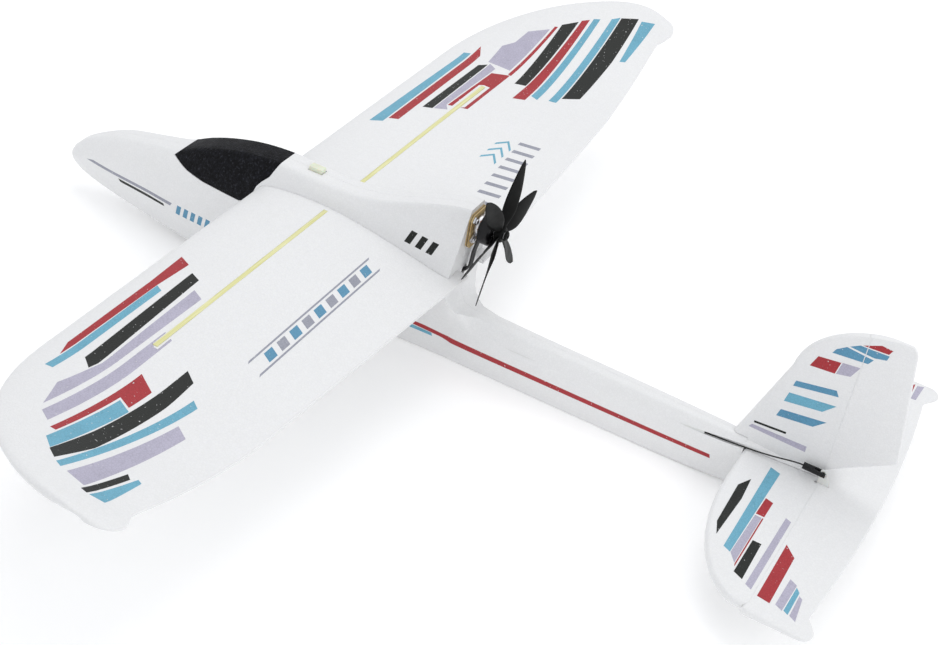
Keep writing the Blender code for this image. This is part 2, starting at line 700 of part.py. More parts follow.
def build_linkage():
    flat = Matrix.Identity(4)
    lying = Matrix.Rotation(math.radians(-90), 4, "Y")
    elevator_x, elevator_z = ELEVATOR_ROD_END
    rudder_x, rudder_z = RUDDER_ROD_END
    elevator_horn = horn("elevator_horn", 1.2, (elevator_x, 0, TAIL_Z), flat)
    about(elevator_horn, (0, PIVOT_Y, TAIL_Z))
    rudder_horn = horn("rudder_horn", 1.2, (0, 0, rudder_z), lying)
    about(rudder_horn, (0, PIVOT_Y, RUDDER_ORIGIN_Z))
    elevator_pin = (elevator_x, PIVOT_Y, elevator_z)
    rudder_pin = (-rudder_x, PIVOT_Y, rudder_z)
    about(clevis("elevator_clevis", elevator_pin, flat), elevator_pin)
    about(clevis("rudder_clevis", rudder_pin, lying), rudder_pin)
    for side, label, pin in ((1, "elevator", elevator_pin), (-1, "rudder", rudder_pin)):
        route = rod_route(side)
        hook = (route[0][0], route[0][1], 36.5)
        bent = [hook] + curve_points(route, 3)
        about(wire(f"{label}_pushrod", bent, ROD_RADIUS, STEEL, 1), pin)
        tube(f"{label}_guide_tube", guide_route(side), 1.7, 0.45, PALE_PLASTIC)
        build_servo(label, side)


def build_servo(label, side):
    """A servo standing in the bay, its arm pointing to the pushrod."""
    y = ELEVATOR_SERVO_Y if side > 0 else RUDDER_SERVO_Y
    x = -side
    case = box(f"{label}_servo", (x - 6, y - 16, 14.5), (x + 6, y + 7, 34.5), BLUE_SHRINK)
    ears = box("ears", (x - 5.9, y - 21, 27), (x + 5.9, y + 12, 29.4), target=CUTTERS)
    boss = rod("boss", (x, y, 34), (x, y, 37), 4.5, sides=12, target=CUTTERS)
    join(case, ears, boss)
    hub = rod(f"{label}_servo_arm", (x, y, 37.4), (x, y, 39.8), 3.4, PALE_PLASTIC, 12)
    tip = x + side * SERVO_ARM
    end = tip + side * 3.3
    arm = cutter_box("arm", (min(x, end), y - 2.5, 38.0), (max(x, end), y + 2.5, 39.4))
    hub = join(hub, arm)
    slot = sorted((tip - side * 0.9, tip + side * 2.3))
    hub = cut(hub, cutter_box("slot", (slot[0], y - 1.35, 36), (slot[1], y + 1.35, 42)))
    about(hub, (x, y, 38))
    about(rod(f"{label}_arm_screw", (x, y, 40.1), (x, y, 41.4), 1.9, STEEL, 10), (x, y, 38))


# ---------------------------------------------------------------- motor and propeller

SCREW_SPOTS = [(10.6, 9.2), (-10.6, 9.2), (10.6, -9.2), (-10.6, -9.2)]


def screw_holes():
    """Cutters for the four motor screws."""
    return [
        rod(f"hole_{i}", (x, 0, MOTOR_Z + z), (x, 60, MOTOR_Z + z), 1.5, sides=10, target=CUTTERS)
        for i, (x, z) in enumerate(SCREW_SPOTS)
    ]


def axle_hole(radius):
    """Cutter along the motor's axis."""
    return rod("axle_hole", (0, 0, MOTOR_Z), (0, 70, MOTOR_Z), radius, sides=24, target=CUTTERS)


def build_motor():
    half_w, low, high, chamfer = 14.0, -18.5, 13.5, 3.5
    outline = [
        (-half_w, low + chamfer), (-half_w + chamfer, low), (half_w - chamfer, low),
        (half_w, low + chamfer), (half_w, high - chamfer), (half_w - chamfer, high),
        (-half_w + chamfer, high), (-half_w, high - chamfer),
    ]
    points = [(x, z + MOTOR_Z) for x, z in outline]
    plate = flat_outline("motor_plate", points, PLATE_Y + 1.5, 3, "Y", PLYWOOD)
    cut(plate, *screw_holes(), axle_hole(3.4))

    base_y = PLATE_Y + 3 + GAP
    stator = turned(
        "motor_stator",
        [(2.4, base_y), (9.6, base_y), (9.6, base_y + 3.4), (8.4, base_y + 3.4), (8.4, base_y + 12.8),
         (2.4, base_y + 12.8)],
        (0, 0, MOTOR_Z), ALUMINIUM, 20,
    )
    arms = []
    for i, (x, z) in enumerate(SCREW_SPOTS):
        length = math.hypot(x, z) + 2.6
        arm = box(f"arm_{i}", (5, base_y, -2.6), (length, base_y + 1.5, 2.6), target=CUTTERS)
        outward = Matrix.Rotation(-math.atan2(z, x), 4, "Y")
        arm.data.transform(Matrix.Translation((0, 0, MOTOR_Z * MM)) @ outward)
        arms.append(arm)
    stator = join(stator, *arms)
    cut(stator, *screw_holes())

    bell_y = base_y + 3.9
    bell = turned(
        "motor_bell",
        [(13.5, bell_y), (13.8, bell_y + 0.6), (13.8, bell_y + 10), (12.0, bell_y + 11.8),
         (1.75, bell_y + 11.8), (1.75, bell_y + 10.2), (10.6, bell_y + 10.2), (12.6, bell_y + 9.0),
         (12.6, bell_y)],
        (0, 0, MOTOR_Z), BLACK_PLASTIC, 24,
    )
    about(bell, (0, PROP_Y, MOTOR_Z))
    shaft = rod("motor_shaft", (0, PLATE_Y + 1, MOTOR_Z), (0, PROP_Y + 6, MOTOR_Z), 1.5, STEEL, 12)
    about(shaft, (0, PROP_Y, MOTOR_Z))
    for i, (x, z) in enumerate(SCREW_SPOTS):
        z += MOTOR_Z
        head_y = base_y + 1.7
        front, rear = (x, PLATE_Y + 0.1, z), (x, head_y + 0.7, z)
        shank = rod(f"motor_screw_{i + 1}", front, rear, 1.15, STEEL, 10)
        head = rod("head", (x, head_y, z), (x, head_y + 1.5, z), 2.2, sides=10, target=CUTTERS)
        join(shank, head)


# A blade's section, as shares of its chord and of its thickness.
BLADE_SECTION = [
    (-0.5, 0), (-0.3, 0.42), (0, 0.55), (0.3, 0.35), (0.5, 0), (0.3, -0.3), (0, -0.4), (-0.3, -0.3),
]


def blade_ring(r, angle):
    """One section of a blade, r out from the shaft, twisted like a screw thread."""
    u = (r - 5) / (PROP_RADIUS - 5)
    chord = 3.5 + 13.0 * max(0.0, math.sin(math.pi * min(1.0, max(0.0, u)) ** 0.9)) ** 0.9
    if u > 0.9:
        chord *= math.sqrt(max(0.06, 1 - ((u - 0.9) / 0.103) ** 2))
    thick = 2.4 - 1.5 * u
    pitch = math.atan2(PROP_LEAD, max(r, 20))
    swing = math.radians(angle)
    out = Vector((math.sin(swing), 0, math.cos(swing)))
    across = Vector((math.cos(swing), 0, -math.sin(swing)))
    flat = across * math.cos(pitch) - Vector((0, 1, 0)) * math.sin(pitch)
    up = out.cross(flat)
    middle = out * r - flat * (0.06 * chord) + Vector((0, PROP_Y, MOTOR_Z))
    return [middle + flat * (c * chord) + up * (t * thick) for c, t in BLADE_SECTION]


def build_propeller():
    hub = turned(
        "propeller",
        [(7.0, PROP_Y - 3.4), (7.0, PROP_Y + 3.0), (5.6, PROP_Y + 4.0), (3.4, PROP_Y + 4.0),
         (3.4, PROP_Y - 3.4)],
        (0, 0, MOTOR_Z), BLACK_PLASTIC, 24,
    )
    blades = []
    for i in range(PROP_BLADES):
        angle = FIRST_BLADE + 360 / PROP_BLADES * i
        shares = (0.07, 0.15, 0.3, 0.47, 0.65, 0.8, 0.885, 0.945, 0.985, 1.0)
        rings = [blade_ring(PROP_RADIUS * share, angle) for share in shares]
        blades.append(loft(f"blade_{i}", rings, target=CUTTERS))
    hub = join(hub, *blades)
    hub = cut(hub, axle_hole(3.4))
    about(hub, (0, PROP_Y, MOTOR_Z))
    collet = turned(
        "propeller_adapter",
        [(1.75, PROP_Y - 4.4), (5.2, PROP_Y - 4.4), (5.2, PROP_Y - 3.8), (3.05, PROP_Y - 3.7),
         (3.05, PROP_Y + 4.6), (1.75, PROP_Y + 4.6)],
        (0, 0, MOTOR_Z), ALUMINIUM, 20,
    )
    about(collet, (0, PROP_Y, MOTOR_Z))
    nut = turned(
        "propeller_nut",
        [(1.75, PROP_Y + 4.9), (4.6, PROP_Y + 4.9), (4.4, PROP_Y + 6.0), (3.4, PROP_Y + 7.0),
         (1.75, PROP_Y + 7.2)],
        (0, 0, MOTOR_Z), BLACK_PLASTIC, 16,
    )
    about(nut, (0, PROP_Y, MOTOR_Z))


def build_leads():
    """The three motor leads, down the back of the pylon and forward to the controller."""
    for i, x in enumerate((-2.6, 0.0, 2.6)):
        knots = [
            (x, 17.7, MOTOR_Z - 11.5), (x, 17.5, MOTOR_Z - 15.5), (x, 16.8, MOTOR_Z - 19.5),
            (x, 15.6, MOTOR_Z - 26), (x, 15.1, MOTOR_Z - 34), (x, 14, MOTOR_Z - 42.5), (x, 10, 89.5),
            (x, 3, 86), (x, -30, 76.5), (x, -72, 70),
        ]
        wire(f"motor_lead_{i + 1}", curve_points(knots, 3), 1.1, BLACK_RUBBER)


# ---------------------------------------------------------------- equipment

def build_equipment():
    box("speed_controller", (-11, -98, 64), (11, -73, 74), BLUE_SHRINK, 1.0)
    box("receiver", (-10, -198, 15), (10, -176, 31), BLACK_PLASTIC, 1.0)
    box("battery", (-12, -288, 22), (12, -214, 46), BLUE_SHRINK, 2.0)
    band = box("battery_strap", (-13.4, -262, 20.4), (13.4, -246, 47.4), BLACK_WEBBING)
    gap = cutter_box("strap_hole", (-12.3, -280, 21.6), (12.3, -220, 46.3))
    cut(band, gap)
    route = [
        (0, -213.5, 34), (0, -207, 36), (2, -196, 48), (4, -178, 58), (3, -150, 63), (0, -120, 67),
        (0, -98.4, 69),
    ]
    wire("battery_lead", curve_points(route, 3), 1.5, BLACK_RUBBER)
    box("wing_lock_key", (-4, -148.5, 121), (4, -134.5, 126.5), CLEAR_YELLOW, 1.6)


build_wings()
build_fuselage()
build_tailplane()
build_fin()
build_linkage()
build_motor()
build_propeller()
build_leads()
build_equipment()
for cutter in list(CUTTERS.objects):
    bpy.data.objects.remove(cutter)
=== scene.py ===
"""Looks of the small foam pusher glider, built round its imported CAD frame.

The frame is the CAD's: nose towards -Y, the aircraft's left wing towards +X, up +Z, belly on Z = 0.
Lengths are written in millimetres and turned into metres with MM.
"""

import math

import bmesh
import bpy
from mathutils import Matrix, Vector
from mathutils.bvhtree import BVHTree


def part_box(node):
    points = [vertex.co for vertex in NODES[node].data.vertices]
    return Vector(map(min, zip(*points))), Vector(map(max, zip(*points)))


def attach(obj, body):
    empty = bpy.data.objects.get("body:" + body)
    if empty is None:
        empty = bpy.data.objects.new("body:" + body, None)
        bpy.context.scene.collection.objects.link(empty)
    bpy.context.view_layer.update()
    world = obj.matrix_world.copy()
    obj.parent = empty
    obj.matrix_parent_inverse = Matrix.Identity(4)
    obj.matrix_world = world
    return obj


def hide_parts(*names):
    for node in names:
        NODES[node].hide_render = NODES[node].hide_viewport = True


MM = 0.001

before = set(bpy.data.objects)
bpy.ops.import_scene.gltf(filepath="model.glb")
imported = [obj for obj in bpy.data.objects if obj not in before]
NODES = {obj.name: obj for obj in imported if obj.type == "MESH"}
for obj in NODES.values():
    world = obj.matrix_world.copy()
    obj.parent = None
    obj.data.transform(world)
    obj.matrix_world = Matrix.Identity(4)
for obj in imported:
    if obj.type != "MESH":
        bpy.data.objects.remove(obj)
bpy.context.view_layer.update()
SCENE = bpy.context.scene


def middle(node):
    low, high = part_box(node)
    return (low + high) / (2 * MM)


# Driving sizes of the airframe, in millimetres, as in the CAD.
HALF_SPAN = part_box("wing_left")[1].x / MM
TAIL_Y = 400.0
WING_Z = 96.0
WING_FRONT = -184.0
WING_BACK = 21.0
WING_TAPER = 0.062
EAR_START = 298.0
TIP_SWEEP = 147.0
TIP_RISE = 46.0
WING_THICK = 15.5
ROOT_X = 14.0
WING_SAMPLES = 26
SPAR_Y = -115.0
SPAR_REACH = 265.0
SPAR_WIDTH = 4.0
SPAR_BED = WING_Z + 5.6
JOINER_BORE = 4.4  # radius of the joiner's hole in the wing
JOINER_END = 122
TAIL_Z = 40.0
TAIL_THICK = 8.0
TAIL_HALF_SPAN = 175.0
ELEVATOR_HALF_SPAN = 180.0
TAIL_FRONT = 283.0
HINGE_Y = 345.0
PIVOT_Y = 349.0  # the axes of the elevator and the rudder
HINGE_ROUND = 3.98  # radius of a moving surface's round front
COVE_ROUND = 4.12  # radius of the hollow that it turns in
NOSE_FRONT = HINGE_Y - 4.5  # where a moving surface starts before its front is rounded
FIXED_BACK = PIVOT_Y + 8  # where a fixed surface ends before it is cut off
CUT_OFF = PIVOT_Y - 0.5
NO_TAPER = 999.0  # behind every back edge, so the thickness stays the same
ELEVATOR_EDGE = 1.6  # half-thickness at the back
RUDDER_EDGE = 1.5
FIN_THICK = 8.0
FIN_TOP = 191.0
PLATE_Y = 12.0
MOTOR_Z = middle("motor_shaft").z
PROP_Y = 35.5
PROP_RADIUS = 65.5
PROP_BLADES = 6
PROP_LEAD = 13.5  # the blades' advance for each radian of turn
FIRST_BLADE = -20.5
SEAM = 0.12  # clearance between foam pieces that are glued together
SIDE_REACH = 45.0  # half the width of a prism that cuts right through the fuselage
WELD = 0.000002  # points closer than this are one, in metres
MOVING = ("elevator", "rudder")  # the foam pieces that turn, named like their bodies


# ---------------------------------------------------------------- camera, floor and light

CAMERA_TURNS = (111.988, 36.415, 10.869)  # azimuth, elevation and roll, in degrees
CAMERA_AIM = Vector((19.16, 27.61, 47.63))
AIM_LEFT = 1.270  # how far the aim moves in the picture
AIM_DOWN = 0.911
CAMERA_AWAY = 1.4467  # metres
LENS_LENGTH = 65.22
LENS_SHIFT = (0.0080, 0.0055)
LIGHT_AIM = Vector((0, 0, 0.08))  # metres


def add_camera():
    """A camera on the aircraft's left, behind and above it, rolled a little."""
    azimuth, elevation, roll = (math.radians(a) for a in CAMERA_TURNS)
    level = Vector((math.cos(azimuth), math.sin(azimuth), 0))
    back = Vector((
        math.sin(azimuth) * math.cos(elevation),
        -math.cos(azimuth) * math.cos(elevation),
        math.sin(elevation),
    ))
    upright = back.cross(level)
    right = math.cos(roll) * level + math.sin(roll) * upright
    up = -math.sin(roll) * level + math.cos(roll) * upright
    aim = (CAMERA_AIM - AIM_LEFT * right - AIM_DOWN * up) * MM
    lens = bpy.data.cameras.new("camera")
    lens.sensor_width = 36
    lens.lens = LENS_LENGTH
    lens.shift_x, lens.shift_y = LENS_SHIFT
    lens.clip_start = 0.01
    camera = bpy.data.objects.new("camera", lens)
    turn = Matrix((right, up, back)).transposed().to_4x4()
    turn.translation = aim + back * CAMERA_AWAY
    camera.matrix_world = turn
    SCENE.collection.objects.link(camera)
    SCENE.camera = camera


def add_light(name, spot, size, power, colour):
    """A soft round light that points at the middle of the aircraft."""
    lamp = bpy.data.lights.new(name, "AREA")
    lamp.shape = "DISK"
    lamp.size = size
    lamp.energy = power
    lamp.color = colour
    obj = bpy.data.objects.new(name, lamp)
    obj.location = spot
    obj.rotation_euler = (LIGHT_AIM - Vector(spot)).to_track_quat("-Z", "Y").to_euler()
    SCENE.collection.objects.link(obj)


def add_studio():
    """A pale sky, a large light over the nose, a second one behind, and a white paper floor."""
    SCENE.view_settings.view_transform = "Standard"
    world = bpy.data.worlds.new("studio")
    world.use_nodes = True
    sky = world.node_tree.nodes["Background"]
    sky.inputs["Color"].default_value = (0.97, 0.98, 1.0, 1)
    sky.inputs["Strength"].default_value = 0.88
    SCENE.world = world
    add_light("key", (-0.7, -0.3, 2.2), 1.8, 11, (1.0, 0.995, 0.99))
    add_light("fill", (0.6, 2.0, 1.5), 1.6, 9, (1.0, 1.0, 0.98))

    shape = bmesh.new()
    bmesh.ops.create_circle(shape, cap_ends=True, segments=96, radius=6.0)
    bmesh.ops.translate(shape, verts=shape.verts, vec=(0, 0, -0.0002))
    mesh = bpy.data.meshes.new("floor")
    shape.to_mesh(mesh)
    shape.free()
    paper = Look("studio_floor", (0.97, 0.97, 0.97), 0.8).speckle(400, 0.01)
    paper.put("Emission Color", (1, 1, 1, 1)).put("Emission Strength", 0.12)
    place("floor", mesh, paper)


# ---------------------------------------------------------------- materials

class Look:
    """A procedural material: a base colour, then layers that vary colour, roughness and relief."""

    def __init__(self, name, colour, roughness, metallic=0.0):
        self.material = bpy.data.materials.new(name)
        self.material.use_nodes = True
        self.tree = self.material.node_tree
        self.shader = self.tree.nodes["Principled BSDF"]
        self.roughness = roughness
        self.height = None
        self.put("Roughness", roughness).put("Metallic", metallic)
        base = self.node("ShaderNodeRGB", {})
        base.outputs[0].default_value = (*colour, 1)
        self.paint(base.outputs[0])
        self.where = self.node("ShaderNodeTexCoord", {}).outputs["Object"]

    def put(self, socket, value):
        """Sets a value that is the same all over the piece."""
        self.shader.inputs[socket].default_value = value
        return self

    def join(self, value, socket):
        self.tree.links.new(value, self.shader.inputs[socket])
        return self

    def node(self, kind, inputs, **settings):
        """A node; each of its inputs is joined to a socket or set to a value."""
        made = self.tree.nodes.new(kind)
        for key, value in settings.items():
            setattr(made, key, value)
        for key, value in inputs.items():
            if isinstance(value, bpy.types.NodeSocket):
                self.tree.links.new(value, made.inputs[key])
            else:
                made.inputs[key].default_value = value
        return made

    def noise(self, scale, detail=3.0, stretch=None):
        """Cloudy noise, scaled along each axis by the stretch."""
        where = self.where
        if stretch:
            where = self.node("ShaderNodeMapping", {"Scale": stretch, "Vector": where}).outputs["Vector"]
        inputs = {"Scale": scale, "Detail": detail, "Vector": where}
        return self.node("ShaderNodeTexNoise", inputs).outputs["Fac"]

    def cells(self, scale, output, feature="F1"):
        inputs = {"Scale": scale, "Vector": self.where}
        return self.node("ShaderNodeTexVoronoi", inputs, feature=feature).outputs[output]

    def wave(self, scale, direction, distortion=0.0):
        inputs = {"Scale": scale, "Distortion": distortion, "Vector": self.where}
        return self.node("ShaderNodeTexWave", inputs, bands_direction=direction).outputs["Fac"]

    def ramp(self, value, low, high, kind="LINEAR"):
        """The value spread from 0 at low to 1 at high."""
        inputs = {"From Min": low, "From Max": high, "Value": value}
        return self.node("ShaderNodeMapRange", inputs, interpolation_type=kind).outputs["Result"]

    def scaled(self, value, low, high):
        """A value between 0 and 1 spread from low to high."""
        inputs = {"To Min": low, "To Max": high, "Value": value}
        return self.node("ShaderNodeMapRange", inputs).outputs["Result"]

    def paint(self, colour):
        self.colour = colour
        return self.join(colour, "Base Color")

    def mix(self, blend, factor, other):
        inputs = {"Factor": factor, "A": self.colour, "B": other}
        made = self.node("ShaderNodeMix", inputs, data_type="RGBA", blend_type=blend)
        return self.paint(made.outputs["Result"])

    def tint(self, factor, colour):
        """Mixes another colour into the base where factor is 1."""
        return self.mix("MIX", factor, (*colour, 1))

    def shade(self, value, low, high):
        """Multiplies the colour by a grey between low and high."""
        return self.mix("MULTIPLY", 1.0, self.scaled(value, low, high))

    def gloss(self, value, low, high):
        return self.join(self.scaled(value, low, high), "Roughness")

    def relief(self, value, depth, distance=0.001):
        """Adds a bump of the value over what is there."""
        inputs = {"Strength": depth, "Distance": distance, "Height": value}
        if self.height:
            inputs["Normal"] = self.height
        self.height = self.node("ShaderNodeBump", inputs).outputs["Normal"]
        return self.join(self.height, "Normal")

    def speckle(self, scale, depth):
        """A fine grain in the colour, the gloss and the relief."""
        grain = self.noise(scale, 4)
        self.shade(grain, 1 - depth * 2, 1.0)
        self.gloss(grain, self.roughness * 0.85, min(1.0, self.roughness * 1.15))
        return self.relief(grain, depth)


def bead_foam(look, bead=420.0, tone=0.03, depth=0.16):
    """The skin of moulded bead foam: flattened beads a few millimetres wide with fine joints between."""
    warp = look.noise(90, 2)
    joint = look.cells(bead, "Distance", "DISTANCE_TO_EDGE")
    look.shade(look.cells(bead, "Color"), 1 - tone, 1.0)
    look.shade(look.noise(14, 3), 0.97, 1.0)
    edge = look.ramp(joint, 0.0, 0.16, "SMOOTHSTEP")
    look.shade(edge, 1 - tone * 1.1, 1.0)
    look.gloss(warp, look.roughness - 0.1, look.roughness + 0.12)
    look.relief(edge, depth, 0.0004)
    return look.relief(look.noise(1500, 2), depth * 0.45, 0.0002)


def foam_looks():
    white = bead_foam(Look("white_bead_foam", (0.8, 0.803, 0.808), 0.5))
    white.put("Subsurface Weight", 0.06).put("Subsurface Radius", (0.006, 0.006, 0.005))
    white.put("Specular IOR Level", 0.35)

    black = Look("black_bead_foam", (0.0016, 0.0018, 0.0034), 0.6)
    black.tint(black.ramp(black.cells(430, "Color"), 0.3, 1.0), (0.0085, 0.009, 0.0135))
    bead_foam(black, 430, 0.4, 0.5)
    black.tint(black.ramp(black.noise(520, 3), 0.56, 0.7), (0.024, 0.025, 0.032))
    black.put("Specular IOR Level", 0.14)
    return {"white_foam": white, "black_foam": black}


PRINTS = {
    "red": (0.4, 0.034, 0.042),
    "cyan": (0.16, 0.42, 0.56),
    "lilac": (0.47, 0.45, 0.56),
    "black": (0.013, 0.015, 0.013),
    "grey": (0.33, 0.34, 0.4),
    "blue": (0.11, 0.3, 0.46),
}


def print_looks():
    """Inks that miss the foam's deepest joints and a few pinholes."""
    looks = {}
    for name, colour in PRINTS.items():
        ink = Look(f"print_{name}", colour, 0.45).put("Specular IOR Level", 0.25)
        joint = ink.cells(420, "Distance", "DISTANCE_TO_EDGE")
        ink.shade(ink.ramp(joint, 0.0, 0.1), 0.82, 1.0)
        ink.tint(ink.ramp(ink.noise(520, 2), 0.7, 0.74), (0.66, 0.66, 0.66))
        ink.shade(ink.noise(60, 3), 0.84, 1.06)
        ink.relief(ink.ramp(joint, 0.0, 0.16, "SMOOTHSTEP"), 0.16, 0.0004)
        looks[name] = ink
    return looks


def plastic_looks():
    nylon = Look("glass_filled_nylon", (0.0018, 0.002, 0.0019), 0.46).put("Specular IOR Level", 0.1)
    nylon.shade(nylon.noise(40, 4), 0.6, 1.2)
    nylon.gloss(nylon.noise(180, 5), 0.4, 0.62)
    nylon.relief(nylon.noise(1400, 3), 0.06, 0.0002)

    plastic = Look("moulded_black_plastic", (0.006, 0.006, 0.007), 0.4).speckle(900, 0.12)
    plastic.put("Specular IOR Level", 0.35)
    pale = Look("natural_nylon", (0.72, 0.725, 0.7), 0.42).speckle(700, 0.05)
    pale.put("Subsurface Weight", 0.08)
    lug = Look("yellow_moulded_lug", (0.78, 0.78, 0.62), 0.38).speckle(600, 0.05)
    lug.put("Subsurface Weight", 0.15)

    sleeve = Look("blue_shrink_sleeve", (0.03, 0.1, 0.34), 0.3)
    folds = sleeve.noise(70, 2, (1, 0.3, 3))
    sleeve.gloss(folds, 0.2, 0.42).shade(folds, 0.8, 1.1).relief(folds, 0.4, 0.0006)
    cable = Look("silicone_cable", (0.013, 0.013, 0.014), 0.46).speckle(800, 0.1)
    strap = Look("hook_and_loop", (0.018, 0.018, 0.02), 0.9)
    weave = strap.wave(500, "DIAGONAL")
    strap.relief(weave, 0.6, 0.0004).shade(weave, 0.6, 1.2)
    return {
        "propeller": nylon, "black_plastic": plastic, "pale_plastic": pale, "lug": lug, "shrink": sleeve,
        "cable": cable, "webbing": strap,
    }


def metal_looks():
    bell = Look("anodised_bell", (0.006, 0.006, 0.007), 0.3, 0.2).put("Specular IOR Level", 0.35)
    lathe = bell.noise(60, 2, (4, 60, 4))
    bell.gloss(lathe, 0.22, 0.42).shade(bell.noise(80, 3), 0.75, 1.2).relief(lathe, 0.08, 0.0002)
    looks = {"bell": bell}

    for name, colour, rough in (("aluminium", (0.70, 0.70, 0.72), 0.3), ("steel", (0.56, 0.56, 0.58), 0.24)):
        metal = Look(f"{name}_turned", colour, rough, 1.0)
        lines = metal.noise(90, 4, (1, 18, 1))
        metal.gloss(lines, rough * 0.7, rough * 1.5).shade(metal.noise(50, 3), 0.88, 1.02)
        looks[name] = metal.relief(lines, 0.05, 0.0001)

    wire_steel = Look("blackened_wire", (0.02, 0.02, 0.02), 0.4, 0.6)
    drawn = wire_steel.noise(90, 4, (12, 1, 12))
    wire_steel.gloss(drawn, 0.3, 0.5).shade(drawn, 0.7, 1.1)
    looks["dark_steel"] = wire_steel.relief(drawn, 0.08, 0.0001)

    copper = Look("enamelled_copper", (0.52, 0.2, 0.09), 0.3, 0.9)
    strands = copper.wave(900, "Y", 1.5)
    looks["copper"] = copper.relief(strands, 0.7, 0.0003).shade(strands, 0.55, 1.0)
    return looks


def fibre_looks():
    fibre = Look("yellow_glass_fibre", (0.66, 0.64, 0.27), 0.34)
    streaks = fibre.noise(40, 4, (1, 30, 30))
    fibre.tint(fibre.ramp(streaks, 0.4, 0.7), (0.78, 0.77, 0.45))
    fibre.gloss(streaks, 0.25, 0.45).relief(streaks, 0.12, 0.0002)

    carbon = Look("carbon_tube", (0.02, 0.02, 0.023), 0.28)
    weave = carbon.noise(60, 3, (1, 25, 25))
    carbon.shade(weave, 0.6, 1.3).gloss(weave, 0.2, 0.4)
    return {"glass_fibre": fibre, "carbon": carbon, "plywood": plywood_look()}


def plywood_look():
    """Birch plywood whose dark glue line runs along the middle of the plate's thickness."""
    ply = Look("birch_plywood", (0.4, 0.26, 0.1), 0.55)
    grain = ply.noise(38, 5, (1, 1, 9))
    ply.tint(ply.ramp(grain, 0.4, 0.65), (0.56, 0.42, 0.2))
    apart = ply.node("ShaderNodeSeparateXYZ", {"Vector": ply.where})
    plate_middle = (PLATE_Y + 1.5) * MM
    off_middle = ply.node("ShaderNodeMath", {0: apart.outputs["Y"], 1: plate_middle}, operation="SUBTRACT")
    depth = ply.node("ShaderNodeMath", {0: off_middle.outputs[0]}, operation="ABSOLUTE")
    ply.shade(ply.ramp(depth.outputs[0], 0.45 * MM, 0.55 * MM), 0.3, 1.0)
    return ply.gloss(grain, 0.45, 0.7).relief(grain, 0.25, 0.0003)


# ---------------------------------------------------------------- mesh helpers

def place(name, mesh, look=None):
    obj = bpy.data.objects.new(name, mesh)
    SCENE.collection.objects.link(obj)
    if look:
        mesh.materials.clear()
        mesh.materials.append(look.material)
    return obj


def show_as(obj, body, slot, *nodes):
    """The piece rides on the body and stands for the CAD nodes; the slot is not used."""
    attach(obj, body)
    if nodes:
        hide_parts(*nodes)


def body_of(piece):
    """The body that a white foam piece and its prints ride on."""
    return piece if piece in MOVING else "airframe"


def show_foam(obj, node):
    show_as(obj, body_of(node), "foam_white", node)


def smooth(obj, angle=34.0):
    obj.data.shade_smooth()
    obj.data.set_sharp_from_angle(angle=math.radians(angle))
    return obj


def finished(name, shape, look=None, angle=34.0):
    """An object from the bmesh, faces outwards and smooth where the surface is."""
    bmesh.ops.recalc_face_normals(shape, faces=shape.faces)
    mesh = bpy.data.meshes.new(name)
    shape.to_mesh(mesh)
    shape.free()
    return smooth(place(name, mesh, look), angle)


def skin(shape, rings, around):
    """Faces between rings of equal count; around joins the last ring to the first."""
    rows = [[shape.verts.new(Vector(point) * MM) for point in ring] for ring in rings]
    following = rows[1:] + rows[:1] if around else rows[1:]
    for first, second in zip(rows, following):
        for i in range(len(first)):
            j = (i + 1) % len(first)
            shape.faces.new((first[i], first[j], second[j], second[i]))
    return rows


def loft(name, rings, look=None):
    """Closed rings of equal count joined in order, capped at both ends."""
    shape = bmesh.new()
    rows = skin(shape, rings, False)
    shape.faces.new(rows[0])
    shape.faces.new(rows[-1])
    bmesh.ops.remove_doubles(shape, verts=shape.verts, dist=WELD)
    return finished(name, shape, look)


def turned(name, at_y, profile, look, steps=64):
    """A profile of (radius, y beyond at_y) pairs turned about the motor's axis."""
    rings = []
    for i in range(steps):
        a = 2 * math.pi * i / steps
        rings.append([(r * math.sin(a), at_y + y, MOTOR_Z + r * math.cos(a)) for r, y in profile])
    shape = bmesh.new()
    skin(shape, rings, True)
    bmesh.ops.remove_doubles(shape, verts=shape.verts, dist=WELD)
    return finished(name, shape, look)


def box(name, low, high):
    shape = bmesh.new()
    bmesh.ops.create_cube(shape, size=1.0)
    bmesh.ops.scale(shape, vec=[(b - a) * MM for a, b in zip(low, high)], verts=shape.verts)
    bmesh.ops.translate(shape, vec=[(a + b) / 2 * MM for a, b in zip(low, high)], verts=shape.verts)
    return finished(name, shape)


def rod(name, start, end, radius, sides=32):
    a, b = Vector(start) * MM, Vector(end) * MM
    shape = bmesh.new()
    bmesh.ops.create_cone(
        shape, cap_ends=True, segments=sides, radius1=radius * MM, radius2=radius * MM,
        depth=(b - a).length,
    )
    turn = (b - a).to_track_quat("Z", "Y").to_matrix().to_4x4()
    bmesh.ops.transform(shape, matrix=Matrix.Translation((a + b) / 2) @ turn, verts=shape.verts)
    return finished(name, shape)


def flat_outline(name, points):
    """A prism right through the fuselage whose side view is the outline of (y, z) points."""
    shape = bmesh.new()
    near = [shape.verts.new((-SIDE_REACH * MM, y * MM, z * MM)) for y, z in points]
    grown = bmesh.ops.extrude_face_region(shape, geom=[shape.faces.new(near)])
    moved = [part for part in grown["geom"] if isinstance(part, bmesh.types.BMVert)]
    bmesh.ops.translate(shape, vec=(2 * SIDE_REACH * MM, 0, 0), verts=moved)
    return finished(name, shape)


def wire(name, points, radius, look=None, sides=4):
    """A round wire through the points, as a mesh."""
    curve = bpy.data.curves.new(name, "CURVE")
    curve.dimensions = "3D"
    curve.bevel_depth = radius * MM
    curve.bevel_resolution = sides
    curve.use_fill_caps = True
    spline = curve.splines.new("POLY")
    spline.points.add(len(points) - 1)
    for spot, point in zip(spline.points, points):
        spot.co = (*(Vector(point) * MM), 1.0)
    return baked(place(name, curve), look)


